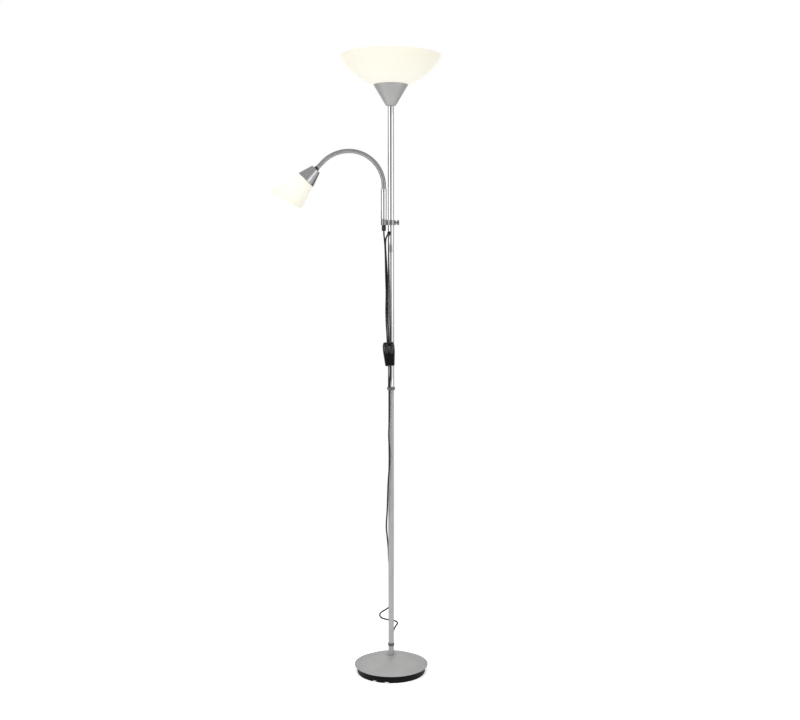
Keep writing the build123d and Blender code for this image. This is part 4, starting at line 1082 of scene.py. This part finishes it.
class LAMP_OT_stage(bpy.types.Operator):
    """Lays the floor, hangs the lights and sets up the camera."""

    bl_idname = "lamp.stage"
    bl_label = "Stage"

    def execute(self, context):
        scene = context.scene
        scene.view_settings.view_transform = "Standard"
        half = scene.lamp_sizes.floor_size / 2
        grid = [(-half, -half, 0), (half, -half, 0), (half, half, 0), (-half, half, 0)]
        mesh = bpy.data.meshes.new("studio_floor")
        mesh.from_pydata(grid, [], [(0, 1, 2, 3)])
        floor = bpy.data.objects.new("studio_floor", mesh)
        scene.collection.objects.link(floor)
        mesh.materials.append(paper_floor())

        world = bpy.data.worlds.new("white_studio")
        scene.world = world
        world.use_nodes = True
        tree = world.node_tree
        tree.nodes.clear()
        strength = shade_node(
            tree,
            "ShaderNodeMapRange",
            {"Value": seen_rays(tree), "To Min": 0.55, "To Max": 1.0},
        )
        sky = shade_node(
            tree,
            "ShaderNodeBackground",
            {"Color": (1.0, 1.0, 1.0, 1.0), "Strength": strength.outputs[0]},
        )
        end = shade_node(tree, "ShaderNodeOutputWorld")
        tree.links.new(sky.outputs[0], end.inputs[0])

        for box in BOXES:
            soft_box(*box)
        for name, tone, distance, rows in FLAGS:
            flag = flag_standing(name, distance, np.array(rows, float))
            flag.data.materials.append(flat_card(name + "_cloth", tone))
            for ray in ("camera", "diffuse", "shadow", "transmission"):
                setattr(flag, "visible_" + ray, False)

        data = bpy.data.cameras.new("photo_camera")
        data.sensor_width = 36.0
        data.lens = CAMERA_LENS
        data.clip_end = 100.0
        camera = bpy.data.objects.new("photo_camera", data)
        camera.location = CAMERA_PLACE
        camera.rotation_euler = (math.pi / 2 - CAMERA_DIP, 0.0, 0.0)
        scene.collection.objects.link(camera)
        scene.camera = camera
        return {"FINISHED"}


class LAMP_OT_cords(bpy.types.Operator):
    """Lays the three free cords, and dresses the plug at the end of the mains lead."""

    bl_idname = "lamp.cords"
    bl_label = "Cords and plug"

    def execute(self, context):
        diameter = context.scene.lamp_sizes.cord_diameter
        for node in PLUG_PARTS:
            refinished(node, "_moulded", "black", 0.0, "stand")
        dress_node("plug_pins", "brass")
        carried = ("switch_screws", "switch_terminals", "rocker_pin", "plug_pins")
        on_lead = [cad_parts[name] for name in carried]
        moulded = SWITCH_CASES + ROCKERS + PLUG_PARTS
        on_lead += [bpy.data.objects[name + "_moulded"] for name in moulded]
        uplight = laid_cord("uplight_cord", UPLIGHT_LEAD, "uplight_lead", diameter)
        reading = laid_cord("reading_cord", READING_LEAD, "reading_lead", diameter)
        mains = laid_cord("mains_cord", MAINS_LEAD, "mains_lead", diameter)
        return {"FINISHED"}


class LAMP_OT_base(bpy.types.Operator):
    """Dresses the base: spun dome with its rolled edge, cast weight, pad, stud and nut."""

    bl_idname = "lamp.base"
    bl_label = "Base"

    def execute(self, context):
        bead = context.scene.lamp_sizes.rim_bead / MM
        edge = DOME_RADIUS - bead
        drop = DOME_TOP - DOME_RIM
        sphere = (edge**2 + drop**2) / (2 * drop)
        centre = DOME_TOP - sphere
        outer = np.linspace(15.6, edge - 0.4, 56)
        skin = np.c_[outer, centre + np.sqrt(sphere**2 - outer**2)]
        under = np.linspace(edge - bead * 0.9, 15.0, 40)
        lining = np.c_[under, centre + np.sqrt((sphere - DOME_WALL) ** 2 - under**2)]
        # The shallow dimple that the pole stands in, above and below the metal.
        dimple_out = [[STUD_BORE, 47.8], [11.4, 47.8], [12.2, 48.0], [14.4, 49.25], [15.0, 49.45]]
        dimple_in = [[12.2, 46.85], [11.6, 46.8], [STUD_BORE, 46.8]]
        roll = arc((edge, DOME_RIM), bead, 62, -200, 14)
        profile = np.concatenate([dimple_out, skin, roll, lining, dimple_in])
        dome = turned("spun_dome", profile, "silver", steps=144)
        dressed(dome, "stand", "base_dome")
        refinished("base_weight", "_cast", "iron", 1.0, "stand")
        refinished("base_pad", "_cut", "foam", 0.3, "stand")
        for name in ("base_spacer", "base_washer", "base_nut", "pole_stud", "pole_foot_insert"):
            dress_node(name, "zinc")
        return {"FINISHED"}


class LAMP_OT_pole(bpy.types.Operator):
    """Dresses the pole's tubes, couplers, cord clips and the ball bush."""

    bl_idname = "lamp.pole"
    bl_label = "Pole"

    def execute(self, context):
        for node, radius, finish, slot in (
            ("pole_tube_1", SLIM_RADIUS, "silver", "silver_paint"),
            ("pole_tube_2", SLIM_RADIUS, "silver", "silver_paint"),
            ("pole_tube_3", POLE_RADIUS, "chrome", "bright_chrome"),
            ("pole_tube_4", POLE_RADIUS, "chrome", "bright_chrome"),
        ):
            drawn_tube(node, radius, 0.0, finish, "stand")
        for name in ("coupler_low", "coupler_middle", "coupler_high", "head_insert"):
            dress_node("pole_" + name, "zinc")
        for node, finish, slot, edge in (
            ("cord_clip_upper", "grey", "grey_plastic", 0.5),
            ("cord_clip_lower", "black", "black_plastic", 0.5),
            ("cord_outlet", "rubber", "black_rubber", 0.0),
        ):
            refinished(node, "_moulded", finish, edge, "stand")
        dress_node("uplight_inner_lead", "cord")
        return {"FINISHED"}


class LAMP_OT_uplight(bpy.types.Operator):
    """Makes the uplight: cone, lampholder, bulb and lit bowl."""

    bl_idname = "lamp.uplight"
    bl_label = "Uplight"

    def execute(self, context):
        lean = (CONE_MOUTH_RADIUS - CONE_FOOT_RADIUS) / (CONE_MOUTH - CONE_FOOT)
        outside = np.linspace(14.6, 48.4, 24)
        inside = np.linspace(47.2, 14.0, 20)
        cone = np.concatenate(
            [
                [[STUD_BORE, CONE_FOOT], [13.0, CONE_FOOT], [13.7, 1641.6], [14.2, 1642.2]],
                np.c_[outside, CONE_FOOT + (outside - CONE_FOOT_RADIUS) / lean],
                arc((48.35, 1698.4), 0.65, -30, 190, 8),
                np.c_[inside, CONE_FOOT + (inside - CONE_FOOT_RADIUS) / lean + 2.1],
                [[13.4, 1642.9], [STUD_BORE, 1642.9]],
            ]
        )
        shell = turned("uplight_cone_shell", cone, "silver", steps=120)
        dressed(shell, "stand", "uplight_cone")

        centre = LAMP_TOP + math.sqrt(BOWL_SPHERE**2 - BOWL_RIM_RADIUS**2)
        bowl = np.concatenate(
            [
                spherical(BOWL_SPHERE, centre, 20.2, 142.6, 64),
                arc((142.15, 1779.05), 0.95, -20, 200, 9),
                spherical(BOWL_SPHERE - SHADE_WALL, centre, 140.6, 20.2, 60),
            ]
        )
        shade = turned("uplight_bowl_shell", bowl, "bowl", steps=180)
        dressed(shade, "stand", "uplight_bowl")

        foot = [[0.0, 1709.05], [13.0, 1709.05], [13.9, 1709.2], [13.9, 1713.6], [14.1, 1715.2]]
        bulb_envelope(
            "uplight_bulb_envelope", foot, UPLIGHT_GLOBE, 15.5, FOOT, UP,
            "uplight_bulb", "uplight_bulb_globe",
        )
        for name in ("uplight_nipple", "uplight_lock_nut"):
            dress_node(name, "zinc")
        for name in ("uplight_socket", "uplight_shade_ring"):
            dress_node(name, "holder")
        dress_node("uplight_contact", "brass")
        screw_cap("uplight_bulb_cap", 13.1, 1684.2, 24.8, 3.6, FOOT, UP, "uplight_bulb")
        return {"FINISHED"}


class LAMP_OT_arm(bpy.types.Operator):
    """Makes the clamp, the arm's tube with its gland and ferrule, and the ribbed gooseneck."""

    bl_idname = "lamp.arm"
    bl_label = "Reading arm"

    def execute(self, context):
        sizes = context.scene.lamp_sizes
        pitch = sizes.rib_pitch / MM
        deep = sizes.rib_depth / MM
        sides = 32
        s, line, tangent = neck_line(NECK_FOOT, 1100)
        share = np.linspace(0, 1, sides, endpoint=False)
        phase = s[:, None] / pitch - share[None, :]
        groove = 1 - np.abs(np.sin(math.pi * phase)) ** 0.6
        outer = NECK_RADIUS - deep * groove
        # The same groove share goes to the material as the "groove" field, which paints shade into
        # the grooves.
        neck = hose(
            "ribbed_gooseneck", line, tangent, outer, NECK_BORE, "neck", sides, {"groove": groove}
        )
        dressed(neck, None, "gooseneck")
        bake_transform(neck)

        # The lead starts inside the gland, clear of the free cord that ends at its bottom.
        s, line, tangent = neck_line(GLAND_BOTTOM + LEAD_CLEARANCE, 260, COLLAR + 13.0)
        thickness = np.full((260, 16), CORD_DIAMETER / 2)
        lead = hose("reading_lead_inside", line, tangent, thickness, 0.0, "cord", 16)
        dressed(lead, None, "reading_inner_lead")
        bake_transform(lead)

        drawn_tube("arm_tube", ARM_RADIUS, ARM_X, "chrome", "arm")
        for node, word, finish, edge, body, smooth in (
            ("arm_clamp", "_cast", "casting", 0.5, "stand", 38.0),
            ("clamp_screw", "_knurled", "casting", 0.3, "clamp_screw", 50.0),
            ("neck_ferrule", "_turned", "chrome", 0.25, "arm", 38.0),
        ):
            refinished(node, word, finish, edge, body, smooth)
        for name in ("arm_foot_plug", "arm_nipple"):
            dress_node(name, "zinc")
        # The gland: its body's radius by height, less 14 flutes that fade at both ends.
        low, high = height_span("arm_gland")
        tall = high - low
        turn = turns(168)
        rise = np.r_[0.0, 0.12, 0.4, 1.4, np.linspace(2.4, tall - 3.0, 6)]
        rise = np.r_[rise, tall - 2.2, tall - 1.9, tall - 0.3, tall]
        body = np.r_[4.4, 5.1, 5.5, np.full(8, 6.0), 6.0, 5.9, 5.5]
        depth = np.r_[0.0, 0.0, 0.1, 0.45, np.full(6, 0.5), 0.1, 0.0, 0.0, 0.0]
        ripple = (0.5 - 0.5 * np.cos(14 * turn)) ** 3
        bore = np.full((2, turn.size), CORD_DIAMETER / 2 + 0.05)
        radius = np.concatenate([body[:, None] - depth[:, None] * ripple, bore])
        height = low + np.r_[rise, tall, 0.0]
        across = np.stack([ARM_X + radius * np.cos(turn), radius * np.sin(turn)], axis=-1)
        upward = np.repeat(height[:, None], turn.size, axis=1)
        points = np.concatenate([across, upward[:, :, None]], axis=-1)
        gland = solid_from_grid("arm_gland_fluted", points, "dark_steel", True, True, 50.0)
        dressed(gland, "arm", "arm_gland")
        return {"FINISHED"}


class LAMP_OT_reading_head(bpy.types.Operator):
    """Makes the reading light: collar, spun cup, lampholder, bulb and lit bell shade."""

    bl_idname = "lamp.reading_head"
    bl_label = "Reading head"

    def execute(self, context):
        lean = (CUP_MOUTH_RADIUS - CUP_FOOT_RADIUS) / CUP_LENGTH
        outside = np.linspace(1.6, 41.6, 24)
        inside = np.linspace(41.6, 2.2, 20)
        cup = np.concatenate(
            [
                [[5.0, 0.0], [13.6, 0.0], [14.4, 0.25], [14.95, 0.85]],
                np.c_[CUP_FOOT_RADIUS + lean * outside, outside],
                arc((28.25, 42.0), 0.5, -20, 190, 7),
                np.c_[CUP_FOOT_RADIUS + lean * inside - 1.05, inside],
                [[13.2, 1.4], [5.0, 1.4]],
            ]
        )
        shell = turned("reading_cup_shell", cup, "satin", HEAD_ORIGIN, HEAD_WAY)
        dressed(shell, "reading_head", "reading_cup")

        # The bell: a plate that the ring holds, out along the wall, round the mouth's lip, and
        # back inside.
        turn = turns(144)
        out_u, out_r = bell_wall(turn, 0.0)
        in_u, in_r = bell_wall(turn, SHADE_WALL)
        plate_u, plate_r = np.array([[30.3, 30.3, 30.9, 36.9], [14.5, 21.0, 21.6, 24.6]])
        back_u, back_r = np.array([[36.9, 32.3, 32.3], [22.6, 19.6, 14.5]])
        round_once = np.ones(turn.size)
        lip_u = (out_u[-1:] + in_u[-1:]) / 2 + 0.5
        lip_r = (out_r[-1:] + in_r[-1:]) / 2
        along = [np.outer(plate_u, round_once), out_u, lip_u, in_u[::-1]]
        along.append(np.outer(back_u, round_once))
        radius = [np.outer(plate_r, round_once), out_r, lip_r, in_r[::-1]]
        radius.append(np.outer(back_r, round_once))
        along, radius = np.concatenate(along), np.concatenate(radius)
        points = around(HEAD_ORIGIN, HEAD_WAY, HEAD_SQUARE, along, radius, turn)
        shade = solid_from_grid("bell_shade", points, "bell", True, True)
        dressed(shade, "reading_head", "reading_shade")

        foot = [[0.0, 43.05], [7.6, 43.05], [8.3, 43.3], [8.3, 46.4], [8.7, 48.2]]
        bulb_envelope(
            "reading_bulb_envelope", foot, READING_GLOBE, 13.0, HEAD_ORIGIN, HEAD_WAY,
            "reading_bulb", "reading_bulb_globe",
        )
        screw_cap(
            "reading_bulb_cap", 6.9, 21.2, 21.8, 2.8, HEAD_ORIGIN, HEAD_WAY, "reading_bulb"
        )
        collar = softened_copy("neck_end_fitting", "neck_end_collar", "black", 0.3)
        dressed(collar, "reading_head", "neck_end_fitting")
        dress_node("reading_lock_nut", "zinc")
        for name in ("reading_socket", "reading_shade_ring"):
            dress_node(name, "holder")
        dress_node("reading_contact", "brass")
        return {"FINISHED"}


class LAMP_OT_switch(bpy.types.Operator):
    """Dresses the double cord switch."""

    bl_idname = "lamp.cord_switch"
    bl_label = "Cord switch"

    def execute(self, context):
        for node in SWITCH_CASES:
            refinished(node, "_moulded", "black", 0.0, "stand")
        for node in ROCKERS:
            rocker = softened_copy(node, node + "_moulded", "black", 0.0)
            crowned(rocker, SWITCH_ACROSS, 1.3, 12)
            dressed(rocker, node, node)
        for name in ("switch_screws", "rocker_pin"):
            dress_node(name, "zinc")
        dress_node("switch_terminals", "brass")
        return {"FINISHED"}


class LAMP_PT_panel(bpy.types.Panel):
    """Lists the lamp's operators and sizes."""

    bl_idname = "LAMP_PT_panel"
    bl_label = "Torchiere floor lamp"
    bl_space_type = "VIEW_3D"
    bl_region_type = "UI"
    bl_category = "Lamp"

    def draw(self, context):
        for step in STEPS:
            self.layout.operator(step.bl_idname)
        for group in (context.scene.lamp_sizes, context.scene.lamp_colours):
            for name in group.bl_rna.properties.keys():
                if name not in ("rna_type", "name"):
                    self.layout.prop(group, name)


STEPS = (
    LAMP_OT_stage,
    LAMP_OT_base,
    LAMP_OT_pole,
    LAMP_OT_uplight,
    LAMP_OT_arm,
    LAMP_OT_reading_head,
    LAMP_OT_switch,
    LAMP_OT_cords,
)
CLASSES = (LampSizes, LampColours) + STEPS + (LAMP_PT_panel,)


def register():
    for kind in CLASSES:
        bpy.utils.register_class(kind)
    bpy.types.Scene.lamp_sizes = bpy.props.PointerProperty(type=LampSizes)
    bpy.types.Scene.lamp_colours = bpy.props.PointerProperty(type=LampColours)


def unregister():
    del bpy.types.Scene.lamp_colours
    del bpy.types.Scene.lamp_sizes
    for kind in reversed(CLASSES):
        bpy.utils.unregister_class(kind)


def main():
    """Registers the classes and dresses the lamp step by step."""
    register()
    bpy.ops.lamp.stage()
    bpy.ops.lamp.base()
    bpy.ops.lamp.pole()
    bpy.ops.lamp.uplight()
    bpy.ops.lamp.arm()
    bpy.ops.lamp.reading_head()
    bpy.ops.lamp.cord_switch()
    bpy.ops.lamp.cords()


if __name__ == "__main__":
    main()
